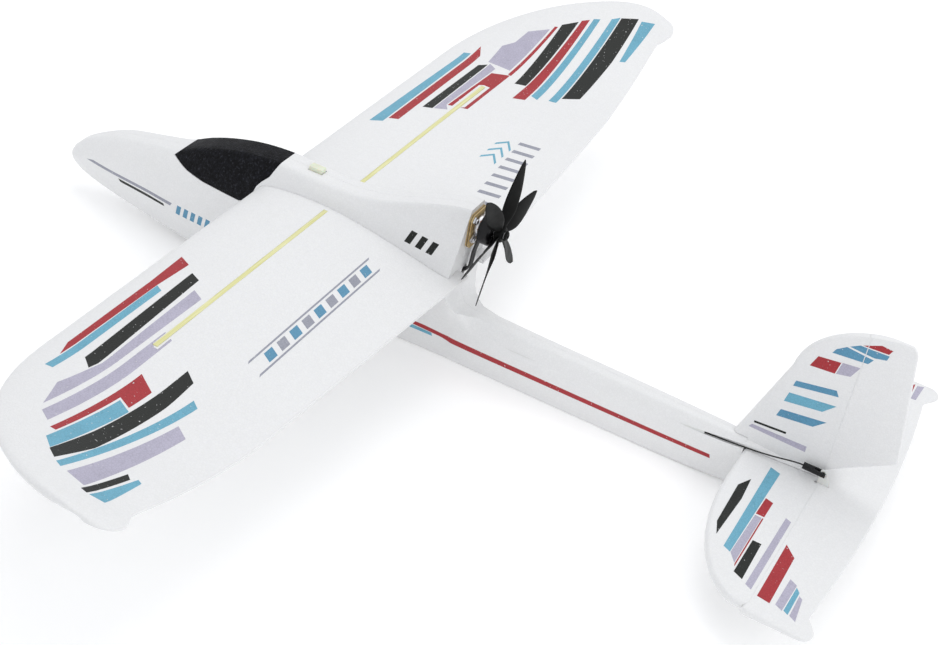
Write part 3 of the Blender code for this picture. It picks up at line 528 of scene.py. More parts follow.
def baked(obj, look=None):
    """The object as a plain mesh with its modifiers applied, in a new look or the one it had."""
    kept = [m for m in obj.data.materials if m]
    bpy.context.view_layer.update()
    evaluated = obj.evaluated_get(bpy.context.evaluated_depsgraph_get())
    mesh = bpy.data.meshes.new_from_object(evaluated)
    mesh.transform(obj.matrix_world)
    name = obj.name
    bpy.data.objects.remove(obj)
    made = smooth(place(name, mesh, look))
    if not look:
        mesh.materials.clear()
        for material in kept[:1]:
            mesh.materials.append(material)
    return made


def combine(obj, operation, *others):
    """An exact boolean of obj with the others, which are used up."""
    for other in others:
        step = obj.modifiers.new(other.name, "BOOLEAN")
        step.operation = operation
        step.solver = "EXACT"
        step.object = other
    made = baked(obj)
    for other in others:
        bpy.data.objects.remove(other)
    return made


def cut(obj, *tools):
    return combine(obj, "DIFFERENCE", *tools)


def rounded(obj, width, angle):
    """The object with its sharp edges rounded off."""
    step = obj.modifiers.new("round", "BEVEL")
    step.width = width * MM
    step.segments = 3
    step.limit_method = "ANGLE"
    step.angle_limit = math.radians(angle)
    step.harden_normals = False
    return baked(obj)


def mirrored(obj, name):
    mesh = obj.data.copy()
    mesh.transform(Matrix.Scale(-1, 4, (1, 0, 0)))
    mesh.flip_normals()
    return smooth(place(name, mesh))


def curve_points(knots, steps):
    """Points on one smooth curve through the knots (Catmull-Rom)."""
    ends = [Vector(k) for k in knots]
    ends = [ends[0] * 2 - ends[1]] + ends + [ends[-1] * 2 - ends[-2]]
    found = []
    for a, b, c, d in zip(ends, ends[1:], ends[2:], ends[3:]):
        for i in range(steps):
            t = i / steps
            found.append(
                0.5 * (2 * b + (c - a) * t + (2 * a - 5 * b + 4 * c - d) * t**2
                       + (3 * b - a - 3 * c + d) * t**3)
            )
    found.append(ends[-2])
    return found


def clamp(value, low=0.0, high=1.0):
    return max(low, min(high, value))


# ---------------------------------------------------------------- wing

def wing_front(x):
    t = clamp((x - EAR_START) / (HALF_SPAN - EAR_START))
    return WING_FRONT + TIP_SWEEP * (1 - (1 - t * t) ** (1 / 1.65))


def wing_back(x):
    horn = clamp((x - (HALF_SPAN - 36)) / 18)
    corner = clamp((x - (HALF_SPAN - 15)) / 15)
    lobe = 9.0 * horn * horn * (3 - 2 * horn)
    return WING_BACK - WING_TAPER * x + lobe - 18.0 * (1 - math.sqrt(1 - corner * corner))


def wing_rise(x):
    return TIP_RISE * max(0.0, (x - EAR_START) / (HALF_SPAN - EAR_START)) ** 1.6


def wing_section(x, swell=0.0):
    """Ring of points round the wing at x: over the top from the back, and back underneath."""
    front, back = wing_front(x), wing_back(x)
    chord = back - front
    outer = max(0.0, (x - 150) / (HALF_SPAN - 150))
    thick = WING_THICK - 5.5 * outer**1.5
    edge = clamp((x - (HALF_SPAN - 9)) / 9)
    thick *= math.sqrt(max(0.012, 1 - edge * edge))
    top, bottom = [], []
    for i in range(WING_SAMPLES + 1):
        c = 0.5 - 0.5 * math.cos(math.pi * i / WING_SAMPLES)
        # The thickness of the usual four-digit sections, and a blunt back edge.
        rounding = math.sqrt(c) * 0.2969 - 0.126 * c - 0.3516 * c**2 + 0.2843 * c**3
        half = thick * 5.0 * (rounding - 0.0836 * c**4)
        blunt = math.sqrt(max(0.0, 1 - clamp((c - 0.99) / 0.01) ** 2))
        trailing = 1.3 * c * thick / WING_THICK * blunt
        half = max(half, trailing) + swell
        line = WING_Z + wing_rise(x) + 1.0 - 4.0 * c + 2.2 * 4 * c * (1 - c)
        y = front + chord * c - swell * (1 - 2 * c)
        top.append((x, y, line + half))
        bottom.append((x, y, line - half))
    return top[::-1] + bottom[1:]


def build_wings(looks):
    straight = [ROOT_X, 60, 110, 160, 200, 240, 270]
    shares = [i / 26 for i in range(23)] + [0.9, 0.92, 0.94, 0.955, 0.968, 0.979, 0.987, 0.994, 0.998, 1.0]
    stations = straight + [EAR_START + (HALF_SPAN - EAR_START) * share for share in shares]
    wing = loft("wing_left_foam", [wing_section(x) for x in stations], looks["white_foam"])
    half = SPAR_WIDTH / 2 + 0.1
    slot = box("slot", (24.9, SPAR_Y - half, SPAR_BED), (SPAR_REACH + 0.1, SPAR_Y + half, 120))
    joiner_z = WING_Z - 0.5
    bore = rod("bore", (0, SPAR_Y, joiner_z), (JOINER_END, SPAR_Y, joiner_z), JOINER_BORE)
    wing = cut(wing, slot, bore)
    other = mirrored(wing, "wing_right_foam")
    show_foam(wing, "wing_left")
    show_foam(other, "wing_right")


# ---------------------------------------------------------------- fuselage

# Each section: y, belly z and half-width, waist half-width and z, shoulder, crown, top z.
SECTIONS = [
    (-400, 27, 3, 5, 32, 4.5, 35, 3, 36.6, 37),
    (-396, 24.5, 5, 9, 33, 8, 38, 5, 42.5, 43.5),
    (-388, 22, 7.5, 12.5, 35, 11.5, 43, 7, 50.5, 52),
    (-370, 19, 11, 16.5, 40, 15.5, 52, 9.5, 61, 63.5),
    (-345, 15.5, 13.5, 20, 44, 18.5, 60.5, 11.5, 72.5, 75),
    (-310, 11.5, 16, 22.5, 46, 21.5, 67, 13, 81, 84),
    (-278, 8, 18, 25, 48, 24, 72, 15, 88.5, 91.5),
    (-258, 6, 19, 26, 49, 25, 77, 15.5, 98, 101.5),
    (-235, 4, 20, 26.7, 50, 25.5, 81, 15.5, 106.5, 110.5),
    (-205, 2, 20.5, 27, 50, 25.5, 86, 15, 114.5, 118.5),
    (-172, 0.5, 20.5, 26.7, 52, 24, 91.5, 14.5, 118.5, 122.5),
    (-140, 0, 21, 26, 54, 20.5, 102, 14, 118.5, 122.5),
    (-105, 0, 20, 25, 54, 20.5, 103, 14, 119, 123),
    (-70, 0, 18, 23, 50, 24, 100, 13.5, 125, 129),
    (-35, 0, 13, 18, 45, 27.5, 98, 13, 137.5, 141.5),
    (-14, 0, 11.8, 16.4, 41, 30, 96, 13, 145, 149),
    (-4, 0, 11.5, 15.8, 40, 31, 94.5, 13, 148, 152),
    (3, 0, 11.2, 15.5, 39, 31.5, 93.5, 13, 149.8, 153.8),
    (8, 0, 11, 15.3, 38, 31.5, 92.5, 13, 150.5, 154.5),
    (12, 0, 11, 15.2, 38, 31, 91.5, 13, 151, 155),
    (14, 0, 11, 15.1, 37.5, 25, 78, 12.5, 100, 104),
    (17, 0, 11, 15.1, 37, 19.4, 63, 12, 76, 80),
    (21, 0, 11, 15, 36, 16.4, 52, 11, 62, 65),
    (30, 0, 11, 14.9, 35, 14.9, 43, 10, 53.5, 56),
    (46, 0, 10.8, 14.8, 34, 14.5, 41, 9, 51, 53.5),
    (200, 0.6, 9, 12.2, 32, 12, 40.5, 7.8, 50, 52.3),
    (282, 4, 7, 9.6, 30, 9.4, 41, 6, 49, 51.2),
    (340, 15, 5.5, 7.4, 30, 7.2, 38, 5, 45.6, 47.5),
]
PYLON_BACK = [
    (11.6, 118.5), (10.8, 107), (10, 97), (9.3, 88), (9.1, 79), (10.2, 70), (13, 62), (17.5, 56.5),
    (26, 53.9), (60, 53.9), (60, 118.5),
]
CANOPY_SEAM = [
    (-271, 150), (-271.5, 94.6), (-278, 87.8), (-259, 82.8), (-241, 80), (-213.5, 78.8), (-201.5, 78.3),
    (-195.5, 80.5), (-191.5, 85), (-189, 92), (-187.5, 97.5), (-184, 102.5), (-177.5, 109.5),
    (-174.5, 116.5), (-171.5, 123), (-170, 150),
]


def fuselage_ring(section, steps=8):
    y, low, belly, waist, waist_z, shoulder, shoulder_z, crown, crown_z, top = section
    knots = [
        (0, low), (belly * 0.55, low), (belly, low + 0.06 * (waist_z - low)), (waist, waist_z),
        (shoulder, shoulder_z), (crown, crown_z), (crown * 0.5, top), (0, top),
    ]
    side = curve_points([(x, 0, z) for x, z in knots], steps)
    side = [Vector((max(0.0, p.x), y, min(top, max(low, p.z)))) for p in side]
    other = [Vector((-p.x, y, p.z)) for p in side[1:-1]]
    return side + other[::-1]


def smoothed_sections():
    """More sections between the given ones, on curves where the fuselage is smooth."""
    rows = [list(row) for row in SECTIONS]
    ends = [rows[0]] + rows + [rows[-1]]
    found = []
    for a, b, c, d in zip(ends, ends[1:], ends[2:], ends[3:]):
        count = max(1, min(5, int((c[0] - b[0]) / 6)))
        curved = c[0] < 0 or b[0] > 40
        for i in range(count):
            t = i / count
            span = c[0] - b[0]
            row = [b[0] + span * t]
            for k in range(1, len(b)):
                before = (c[k] - a[k]) / (c[0] - a[0]) * span
                after = (d[k] - b[k]) / (d[0] - b[0]) * span
                if curved:
                    value = (
                        (2 * t**3 - 3 * t**2 + 1) * b[k] + (t**3 - 2 * t**2 + t) * before
                        + (3 * t**2 - 2 * t**3) * c[k] + (t**3 - t**2) * after
                    )
                else:
                    value = b[k] + (c[k] - b[k]) * t
                row.append(value)
            found.append(tuple(row))
    found.append(SECTIONS[-1])
    return found


def rod_route(side):
    """The pushrod's way from its servo along the boom to its horn."""
    horn_x, horn_z = (10.0, 54.0) if side > 0 else (14.0, 60.0)
    servo_y = -148.0 if side > 0 else -112.0
    knots = [
        (11, servo_y, 41.5), (12, -70, 40.8), (12.8, 0, 40.2), (12.7, 60, 40), (11.4, 130, 40),
        (9.9, 200, 40.8), (8.6, 262, 43.2), ((horn_x + 8.6) / 2, 298, (40.8 + horn_z) / 2),
        (horn_x, 326, horn_z - 0.4), (horn_x, 335.5, horn_z),
    ]
    return [(side * x, y, z) for x, y, z in knots]


def fuselage_tools():
    """What is cut out of the left half, in the order of cutting."""
    grown = []
    for y, z in CANOPY_SEAM:
        rearward = 0.4 if y > -220 else -0.4
        down = 0 if y < -220 and z > 90 else 0.4
        grown.append((y + rearward, z - down))
    root = [[(x, y, z) for _, y, z in wing_section(ROOT_X, SEAM)] for x in (ROOT_X - 0.4, 60)]
    groove = [p for p in curve_points(rod_route(1), 6) if -76 < p.y < 300]
    lead_route = curve_points([(0, 20, 92), (0, 10, 89.5), (0, 3, 86), (0, -30, 76.5), (0, -74, 70)], 4)
    tail_bed = TAIL_Z - TAIL_THICK / 2 - 0.1
    return [
        (flat_outline("opening", grown), box("bay", (-1, -290, 20), (17, -200.5, 68))),
        (box("hatch", (-1, -270, 60), (17, -200.5, 120)),),
        (box("rear_bay", (-1, -201, 14), (17, -70, 80)),),
        (loft("pocket", root),),
        (box("seat", (-1, PLATE_Y - 0.1, 118), (40, 60, 170)),),
        (flat_outline("throat", PYLON_BACK),),
        (box("tail", (-30, TAIL_FRONT - 0.4, tail_bed), (30, 360, 80)),),
        (wire("groove", groove, 1.75, sides=5), wire("way", lead_route, 4.6, sides=6)),
        (box("catch", (11.5, -231.4, 64.6), (17.6, -218.6, 81)),),
        (box("key", (-1, -148.7, 120.8), (4.2, -134.3, 140)),),
    ]


def build_fuselage(looks):
    rings = [fuselage_ring(s) for s in smoothed_sections()]
    lid = loft("canopy_foam", rings, looks["black_foam"])
    lid = combine(lid, "INTERSECT", flat_outline("prism", CANOPY_SEAM))
    lid = cut(lid, box("hollow", (-17.4, -246, 60), (17.4, -197, 99)))
    show_as(rounded(lid, 0.9, 30), "canopy", "foam_black", "canopy")

    body = loft("fuselage_left_foam", rings, looks["white_foam"])
    body = combine(body, "INTERSECT", box("left", (SEAM / 2, -450, -20), (90, 450, 260)))
    for tools in fuselage_tools():
        body = cut(body, *tools)
    other = mirrored(body, "fuselage_right_foam")
    show_foam(body, "fuselage_left")
    show_foam(other, "fuselage_right")


# ---------------------------------------------------------------- tail

def tail_front(x):
    t = clamp((x - 50) / (TAIL_HALF_SPAN - 50))
    return TAIL_FRONT + 60 * (1 - (1 - t * t) ** (1 / 1.9))


def elevator_back(x):
    start = ELEVATOR_HALF_SPAN - 27
    horn = clamp((x - start) / 17)
    corner = clamp((x - (ELEVATOR_HALF_SPAN - 8.5)) / 8.5)
    sweep = TAIL_Y - 9 * (min(x, start) / start) ** 2
    return sweep + 8.5 * horn * horn * (3 - 2 * horn) - 10 * (1 - math.sqrt(1 - corner * corner))


def plate_profile(front, taper, back, half, back_half):
    """Half-thickness along a flat surface: round front, flat as far as taper, then thinner to a soft back."""
    nose = []
    for i in range(9):
        a = math.pi / 2 * i / 8
        nose.append((front + half * (1 - math.cos(a)), half * math.sin(a)))
    thin = half + (min(half, back_half) - half) * clamp((back - taper) / 20)
    ease = min(thin, (back - nose[-1][0]) * 0.5)
    start = max(nose[-1][0], min(taper, back - ease))
    body = [(start, half), ((start + back - ease) / 2, (half + thin) / 2), (back - ease, thin)]
    end = []
    for i in range(1, 6):
        a = math.pi / 2 * i / 5
        end.append((back - ease + ease * math.sin(a), max(0.05, thin * math.cos(a))))
    return nose + body + end


def ring_x(x, profile, z):
    top = [(x, y, z + h) for y, h in profile[1:]]
    bottom = [(x, y, z - h) for y, h in profile[1:]]
    return [(x, profile[0][0], z)] + top + bottom[::-1]


def ring_z(z, profile):
    left = [(h, y, z) for y, h in profile[1:]]
    right = [(-h, y, z) for y, h in profile[1:]]
    return [(0, profile[0][0], z)] + left + right[::-1]


def both_ways(span):
    return [-s for s in span[:0:-1]] + span


def towards(end, steps, start=0.0, power=2.2):
    """Numbers from start to end that come closer together towards the end."""
    return [start + (end - start) * (1 - (1 - i / steps) ** power) for i in range(steps + 1)]


def edge_half(r, tip):
    """Half-thickness of a tail surface r out along its span, rounded off at the tip."""
    edge = max(0.0, (r - (tip - 4)) / 4)
    return TAIL_THICK / 2 * math.sqrt(max(0.02, 1 - edge * edge))


def hollowed(surface, ends, behind, horn_way):
    """A fixed surface cut off in a cove at the hinge, with a way for the horn through it."""
    surface = cut(surface, box("behind", *behind))
    surface = cut(surface, rod("cove", *ends, COVE_ROUND, sides=96))
    return cut(surface, box("horn_way", *horn_way))


def nosed(surface, ends, room, seat):
    """A moving surface with a round front that turns in the cove, and the slit its horn is glued in."""
    nose = rod("nose", *ends, HINGE_ROUND, sides=96)
    surface = combine(surface, "INTERSECT", combine(box("room", *room), "UNION", nose))
    return cut(surface, box("seat", *seat))


def build_tailplane(looks):
    ends = [(side * 200, PIVOT_Y, TAIL_Z) for side in (-1, 1)]
    rings = []
    for x in both_ways(towards(TAIL_HALF_SPAN - 0.05, 22)):
        half = edge_half(abs(x), TAIL_HALF_SPAN)
        front = min(tail_front(abs(x)), HINGE_Y - 2 * half - 1.1)
        rings.append(ring_x(x, plate_profile(front, NO_TAPER, FIXED_BACK, half, half), TAIL_Z))
    plane = loft("tailplane_foam", rings, looks["white_foam"])
    behind = ((-200, CUT_OFF, 20), (200, 380, 60))
    plane = hollowed(plane, ends, behind, ((8.6, HINGE_Y - 0.3, 39.9), (11.4, 350, 46)))
    show_foam(plane, "tailplane")

    rings = []
    for x in both_ways(towards(ELEVATOR_HALF_SPAN - 0.05, 30)):
        r = abs(x)
        half = edge_half(r, ELEVATOR_HALF_SPAN)
        front = NOSE_FRONT + 12.5 * max(0.0, (r - (ELEVATOR_HALF_SPAN - 4.5)) / 4.5) ** 2
        rings.append(ring_x(x, plate_profile(front, PIVOT_Y, elevator_back(r), half, ELEVATOR_EDGE), TAIL_Z))
    elevator = loft("elevator_foam", rings, looks["white_foam"])
    room = ((-200, PIVOT_Y, 20), (200, 420, 60))
    elevator = nosed(elevator, ends, room, ((9.3, 346.4, 40.8), (10.7, 357, 50)))
    show_foam(elevator, "elevator")


def fin_front(z):
    bend = FIN_TOP - 57
    t = clamp((z - bend) / (FIN_TOP - bend))
    slope = 269 + 0.34 * (min(z, bend) - 51) + 0.12 * (max(z, bend) - bend)
    return slope + 72 * (1 - (1 - t**2.2) ** 0.5)


def rudder_back(z):
    if z < 85:
        return HINGE_Y + 1 + (z - 51) * 53.0 / 34
    corner = clamp((z - FIN_TOP + 8) / 8)
    return 399 - 0.156 * (z - 85) - 6 * (1 - math.sqrt(1 - corner * corner))


def fin_half(z):
    edge = max(0.0, (z - (FIN_TOP - 4)) / 4)
    return (FIN_THICK / 2 - 0.6 * max(0.0, (z - 60) / 137)) * math.sqrt(max(0.02, 1 - edge * edge))


# Each row of the bed along the fin's foot: y, half-width, height.
FOOT_ROWS = [(282.3, 7.9, 6.3), (296, 7.3, 5.6), (312, 6.3, 4.4), (326, 5.2, 2.9), (338, 4.1, 1.2)]


def foot_fillet():
    """The low rounded bed that carries the boom's round back on along the fin's foot."""
    base = TAIL_Z + TAIL_THICK / 2 + 0.5
    turns = [math.pi * i / 16 for i in range(17)]
    rings = []
    for y, half, height in FOOT_ROWS:
        rings.append([(half * math.cos(a), y, base + height * math.sin(a)) for a in turns])
    return loft("foot_fillet", rings)


def build_fin(looks):
    """Fin and rudder meet in the same kind of round hinge as the tailplane and the elevator."""
    ends = [(0, PIVOT_Y, z) for z in (0, 250)]
    heights = [44.5, 52, 66, 80, 95, 110, 125] + towards(FIN_TOP - 0.02, 24, FIN_TOP - 57, 1.9)
    rings = []
    for z in heights:
        half = fin_half(z)
        front = fin_front(z)
        back = max(FIXED_BACK, front + 2 * half + 0.6)
        rings.append(ring_z(z, plate_profile(front, NO_TAPER, back, half, half)))
    fin = loft("fin_foam", rings, looks["white_foam"])
    fin = cut(fin, box("step", (-20, 240, 40), (20, TAIL_FRONT - 0.8, 51.8)))
    behind = ((-20, CUT_OFF, 20), (20, 420, 260))
    fin = hollowed(fin, ends, behind, ((-8, HINGE_Y - 1.6, 58.4), (0.6, 350, 61.6)))
    fin = combine(fin, "UNION", foot_fillet())
    show_foam(fin, "fin")

    rings = []
    low = [52.5, 54, 57, 61, 66, 72, 78, 84, 86, 100, 120, 140, 158]
    for z in low + towards(FIN_TOP - 0.02, 18, FIN_TOP - 22):
        half = fin_half(z)
        front = max(NOSE_FRONT, fin_front(z))
        end = max(rudder_back(z), front + 2 * half + 0.6)
        rings.append(ring_z(z, plate_profile(front, PIVOT_Y, end, half, RUDDER_EDGE)))
    rudder = loft("rudder_foam", rings, looks["white_foam"])
    room = ((-20, PIVOT_Y, 20), (20, 420, 260))
    rudder = nosed(rudder, ends, room, ((-6, 346.4, 59.3), (-0.8, 357, 60.7)))
    show_foam(rudder, "rudder")


# ---------------------------------------------------------------- printed stripes

PRINT_LIFT = 0.08  # how far a print stands over the foam
PRINT_SINK = 0.12  # how far its underside lies in the foam
FIN_END = PIVOT_Y - 2.3  # where the prints on the fin and on the rudder stop at the hinge
RUDDER_START = PIVOT_Y - 1.6
SIDE_STEP = 2.2  # between the bends of a print on the fuselage
BOOM_FOLDS = (-4, 3, 8, 12, 14, 17, 21, 30)  # where the fuselage narrows into the boom


def split(plan, at, way):
    bmesh.ops.bisect_plane(
        plan, geom=plan.verts[:] + plan.edges[:] + plan.faces[:], plane_co=Vector(way) * at, plane_no=way,
    )


def plan_of(outlines, step, folds):
    """The outlines as one flat mesh, cut in steps along both axes and at each fold of the first axis."""
    plan = bmesh.new()
    for outline in outlines:
        plan.faces.new([plan.verts.new((u * MM, v * MM, 0)) for u, v in outline])
    for way in ((1, 0, 0), (0, 1, 0)):
        values = [v.co.dot(Vector(way)) for v in plan.verts]
        at = min(values) + step * MM
        while at < max(values):
            split(plan, at, way)
            at += step * MM
    for fold in folds:
        split(plan, fold * MM, (1, 0, 0))
    return plan


class Print:
    """Thin printed shapes that follow the foam under them."""

    def __init__(self, looks):
        self.looks = looks
        self.trees = {}

    def tree(self, on):
        if on not in self.trees:
            shape = bmesh.new()
            shape.from_mesh(bpy.data.objects[f"{on}_foam"].data)
            self.trees[on] = BVHTree.FromBMesh(shape)
            shape.free()
        return self.trees[on]

    def drop(self, plan, on, side):
        """Where each point of the plan meets the foam and the way out there; points that miss are deleted."""
        met = {}
        missed = []
        for vert in plan.verts:
            u, v = vert.co.x, vert.co.y
            if side:
                start, way = Vector((side, u, v)), Vector((-side, 0, 0))
            else:
                start, way = Vector((u, v, 1)), Vector((0, 0, -1))
            hit, normal, _, _ = self.tree(on).ray_cast(start, way)
            if hit is None:
                missed.append(vert)
            else:
                met[vert] = (hit, -normal if normal.dot(way) > 0 else normal)
        bmesh.ops.delete(plan, geom=missed, context="VERTS")
        return met

    def lay(self, name, colour, outlines, on, side=0, step=3.5, folds=()):
        """Outlines in (x, y) dropped on a piece from above, or in (y, z) from the left (1) or right (-1)."""
        plan = plan_of(outlines, step, folds)
        met = self.drop(plan, on, side)
        sheet = bmesh.new()
        upper, lower = {}, {}
        for vert in plan.verts:
            hit, normal = met[vert]
            upper[vert] = sheet.verts.new(hit + normal * PRINT_LIFT * MM)
            lower[vert] = sheet.verts.new(hit - normal * PRINT_SINK * MM)
        for face in plan.faces:
            sheet.faces.new([upper[v] for v in face.verts])
            sheet.faces.new([lower[v] for v in reversed(face.verts)])
        for edge in plan.edges:
            if len(edge.link_faces) == 1:
                a, b = edge.verts
                sheet.faces.new((upper[a], upper[b], lower[b], lower[a]))
        plan.free()
        obj = finished(name, sheet, self.looks[colour], 60)
        show_as(obj, body_of(on), "foam_white")

    def lay_all(self, name, table, on, *how):
        """One print for each colour of the table, whose name goes where the name has braces."""
        for colour, outlines in table.items():
            self.lay(name.format(colour), colour, outlines, on, *how)


def bar(inner, outer, front, back, lean, sign=1):
    """A stripe along the span between two distances from the centre, its ends leaning."""
    return [
        (sign * inner, front), (sign * outer, front),
        (sign * (outer + lean), back), (sign * (inner + lean), back),
    ]


def spaced(first, apart, count):
    return [first + i * apart for i in range(count)]


LEFT_STRIPES = {
    "red": [
        [(157, -169), (201, -167.6), (300, -168.2), (316, -162.6), (201, -160), (164, -157)],
        [(297, -103), (400, -103), (400, -98), (330, -97), (336, -85), (309, -85)],
    ],
    "cyan": [
        [(202, -159.6), (334, -161.6), (334, -154.6), (206, -152.8)],
        [(333, -95), (412, -96.5), (422, -85), (340, -82)], [(295, -58), (433, -71), (436, -65), (300, -51)],
        [(401, -28), (447, -33), (445, -22), (403, -24)],
    ],
    "black": [
        [(172, -148), (308, -146), (317, -135.6), (308, -134), (177, -138)],
        [(272, -80), (380, -82), (423, -84.6), (430, -75), (396, -68), (316, -67.4), (280, -69)],
        [(402, -36), (446, -40.5), (447, -35), (406, -31)],
    ],
    "lilac": [
        [(190, -133), (306, -132), (318, -134.4), (348, -139), (378, -127), (196, -122)],
        [(247, -119), (386, -121.4), (394, -110), (252, -109)],
        [(326, -49), (437, -59), (441, -42), (334, -37)],
    ],
}
RIGHT_STRIPES = {
    "cyan": [
        [(-134, -167), (-315, -164), (-317, -157), (-140, -156)],
        [(-287, -72.5), (-429, -76), (-432, -70), (-285, -65)],
        [(-293, -56), (-438, -60), (-444, -53), (-296, -49)],
        [(-394, -27), (-451, -32), (-456, -19), (-397, -22)],
    ],
    "red": [
        [(-148, -154.5), (-334, -155), (-318, -147), (-152, -146)],
        [(-208, -124), (-296, -122), (-305, -106), (-215, -106)],
        [(-306, -108.6), (-400, -105.6), (-401, -102.6), (-305, -105)],
        [(-268, -84), (-421, -85.5), (-426, -79), (-275, -73.5)],
    ],
    "black": [
        [(-188, -140.5), (-301, -140), (-308, -133), (-192, -132)],
        [(-295, -95.6), (-406, -100.4), (-418, -87.6), (-300, -85.4)],
        [(-307, -48), (-444, -51.8), (-452, -36), (-389, -33), (-320, -34)],
    ],
    "lilac": [
        [(-193, -131), (-311, -131.8), (-306, -123.2), (-208, -125.2), (-200, -120)],
        [(-313, -135), (-346, -137), (-358, -128.6), (-380, -125.6), (-394, -108), (-313, -110.4)],
    ],
}
TAIL_STRIPES = {
    "black": [
        [(54, 295), (104, 296.6), (118, 301.6), (68, 303.4), (41, 301.4)],
        [(107, 327.4), (148, 327.4), (152, 335.6), (107, 334.6)],
    ],
    "cyan": [[(17, 309.6), (127, 311), (130, 317.4), (20, 318.6)]],
    "lilac": [
        [(79, 318.9), (130, 317.9), (139, 324.4), (79, 324.4)],
        [(67, 340.4), (155, 339.4), (158, 345), (69, 345.4)],
    ],
    "red": [
        [(55, 319.2), (77, 318.8), (77, 325.8), (57, 326)], [(79, 324.9), (140, 325), (143, 326), (79, 326)],
    ],
}
ELEVATOR_STRIPES = {
    "lilac": [
        [(128, 366), (160, 365.4), (163, 371.6), (131, 372.4)],
        [(140, 377.6), (164, 378), (167, 383.6), (142, 380.6)],
    ],
    "red": [[(95, 351), (105, 351), (161, 351), (162, 361.4), (105, 361)]],
    "cyan": [[(133, 373), (162, 372.6), (164, 376.6), (137, 376.6)]],
}
ELEVATOR_TIP = {
    "red": [[(-171, 374.4), (-160, 374.4), (-160, 377.6), (-174, 377)]],
    "lilac": [[(-173, 379), (-152, 379), (-153, 383.4), (-176, 384.6)]],
}
FIN_STRIPES = {
    "blue": [
        [(323, 160), (351, 163), (354, 168), (332, 170), (325, 164.4)],
        [(334, 171.4), (354, 170), (363, 172), (364, 176.4), (341, 176)],
        [(303, 117), (339, 124), (336, 129), (304, 122.6)], [(298, 84), (328, 88), (337, 97), (300, 91.4)],
    ],
    "cyan": [[(300, 100), (331, 105), (340, 115), (302, 109.6)]],
    "red": [
        [(310, 141), (330, 143), (332, 154.6), (314, 152)],
        [(343, 177), (363, 177.6), (365, 182), (356, 183)],
    ],
    "lilac": [
        [(331, 143.4), (342, 146), (347, 157), (333, 155)], [(280, 63), (329, 62), (329, 67.6), (282, 66.4)],
    ],
    "black": [[(283, 68.6), (310, 70.6), (310, 72.6), (283, 70.6)]],
}
FUSELAGE_STRIPES = {
    "grey": [[(-374, 42.4), (-366, 45), (-300, 44), (-272, 42.6), (-274, 39), (-300, 40.6), (-366, 42)]],
    "black": [[(-335, 39.6), (-300, 38.6), (-282, 37.2), (-281, 34.6), (-300, 35.6), (-333, 36.6)]],
    "red": [
        [(-25, 27.4), (-12, 27.2), (6, 25.8), (258, 24.2), (259, 20.2), (14, 20), (6, 21.6), (-22, 23.4)],
    ],
    "cyan": [[(-27, 22.6), (-4, 21.8), (-3, 18.6), (-27, 18.8)]],
}


def print_wings(prints):
    prints.lay_all("stripes_{}_left", LEFT_STRIPES, "wing_left")
    prints.lay_all("stripes_{}_right", RIGHT_STRIPES, "wing_right")
    lines = [bar(62, 238, -38.6, -37.0, 3), bar(56, 232, -53.0, -51.4, 3)]
    prints.lay("panel_lines_left", "grey", lines, "wing_left")
    blocks = [bar(start, start + 11, -49.4, -40.6, 5) for start in spaced(66, 17.5, 9)]
    prints.lay("panel_blocks_left", "blue", blocks[::2], "wing_left")
    prints.lay("panel_blocks_left_grey", "grey", blocks[1::2], "wing_left")
    slants = []
    for i, start in enumerate(spaced(82, 16.5, 8)):
        slants.append(bar(start, start + 5.5, -31 - 1.5 * i, -12 - 1.5 * i, 7, -1))
    prints.lay("panel_blocks_right", "grey", slants, "wing_right")
    chevrons = []
    for inner in spaced(150, 15, 3):
        chevrons.append([
            (-inner, -58), (-inner - 4, -58), (-inner - 16, -50),
            (-inner - 4, -42), (-inner, -42), (-inner - 12, -50),
        ])
    prints.lay("chevrons_right", "cyan", chevrons, "wing_right")


def print_tail(prints):
    prints.lay_all("tailplane_stripes_{}", TAIL_STRIPES, "tailplane")
    prints.lay_all("elevator_stripes_{}", ELEVATOR_STRIPES, "elevator")
    prints.lay_all("elevator_tip_{}", ELEVATOR_TIP, "elevator")


def cut_outline(outline, limit, side):
    """The part of an outline before (-1) or beyond (1) a limit of its first coordinate."""
    kept = []
    for a, b in zip(outline, outline[1:] + outline[:1]):
        inside_a = (a[0] - limit) * side >= 0
        inside_b = (b[0] - limit) * side >= 0
        if inside_a:
            kept.append(a)
        if inside_a != inside_b:
            share = (limit - a[0]) / (b[0] - a[0])
            kept.append((limit, a[1] + (b[1] - a[1]) * share))
    return kept


def print_fin(prints):
    """Each stripe has one part on the fin and one on the rudder, where it reaches that far."""
    for side, label in ((1, "left"), (-1, "right")):
        for colour, outlines in FIN_STRIPES.items():
            before = [cut_outline(outline, FIN_END, -1) for outline in outlines]
            beyond = [cut_outline(outline, RUDDER_START, 1) for outline in outlines]
            for on, parts in (("fin", before), ("rudder", beyond)):
                shapes = [part for part in parts if len(part) > 2]
                if shapes:
                    prints.lay(f"{on}_stripes_{colour}_{label}", colour, shapes, on, side)


def print_fuselage(prints):
    nose_bars = []
    for start in spaced(-268, 8.0, 5):
        nose_bars.append([(start, 33), (start + 4.4, 32.6), (start + 6.8, 43), (start + 2.4, 43.4)])
    badge = []
    for start in spaced(-38, 11, 3):
        badge.append([(start, 109), (start + 6, 109), (start + 10, 120), (start + 4, 120)])
    table = {**FUSELAGE_STRIPES, "blue": nose_bars}
    for side, label in ((1, "left"), (-1, "right")):
        on = f"fuselage_{label}"
        prints.lay_all("fuselage_print_{}_" + label, table, on, side, SIDE_STEP, BOOM_FOLDS)
        prints.lay(f"pylon_print_{label}", "black", badge, on, side, SIDE_STEP)


# ---------------------------------------------------------------- motor and propeller

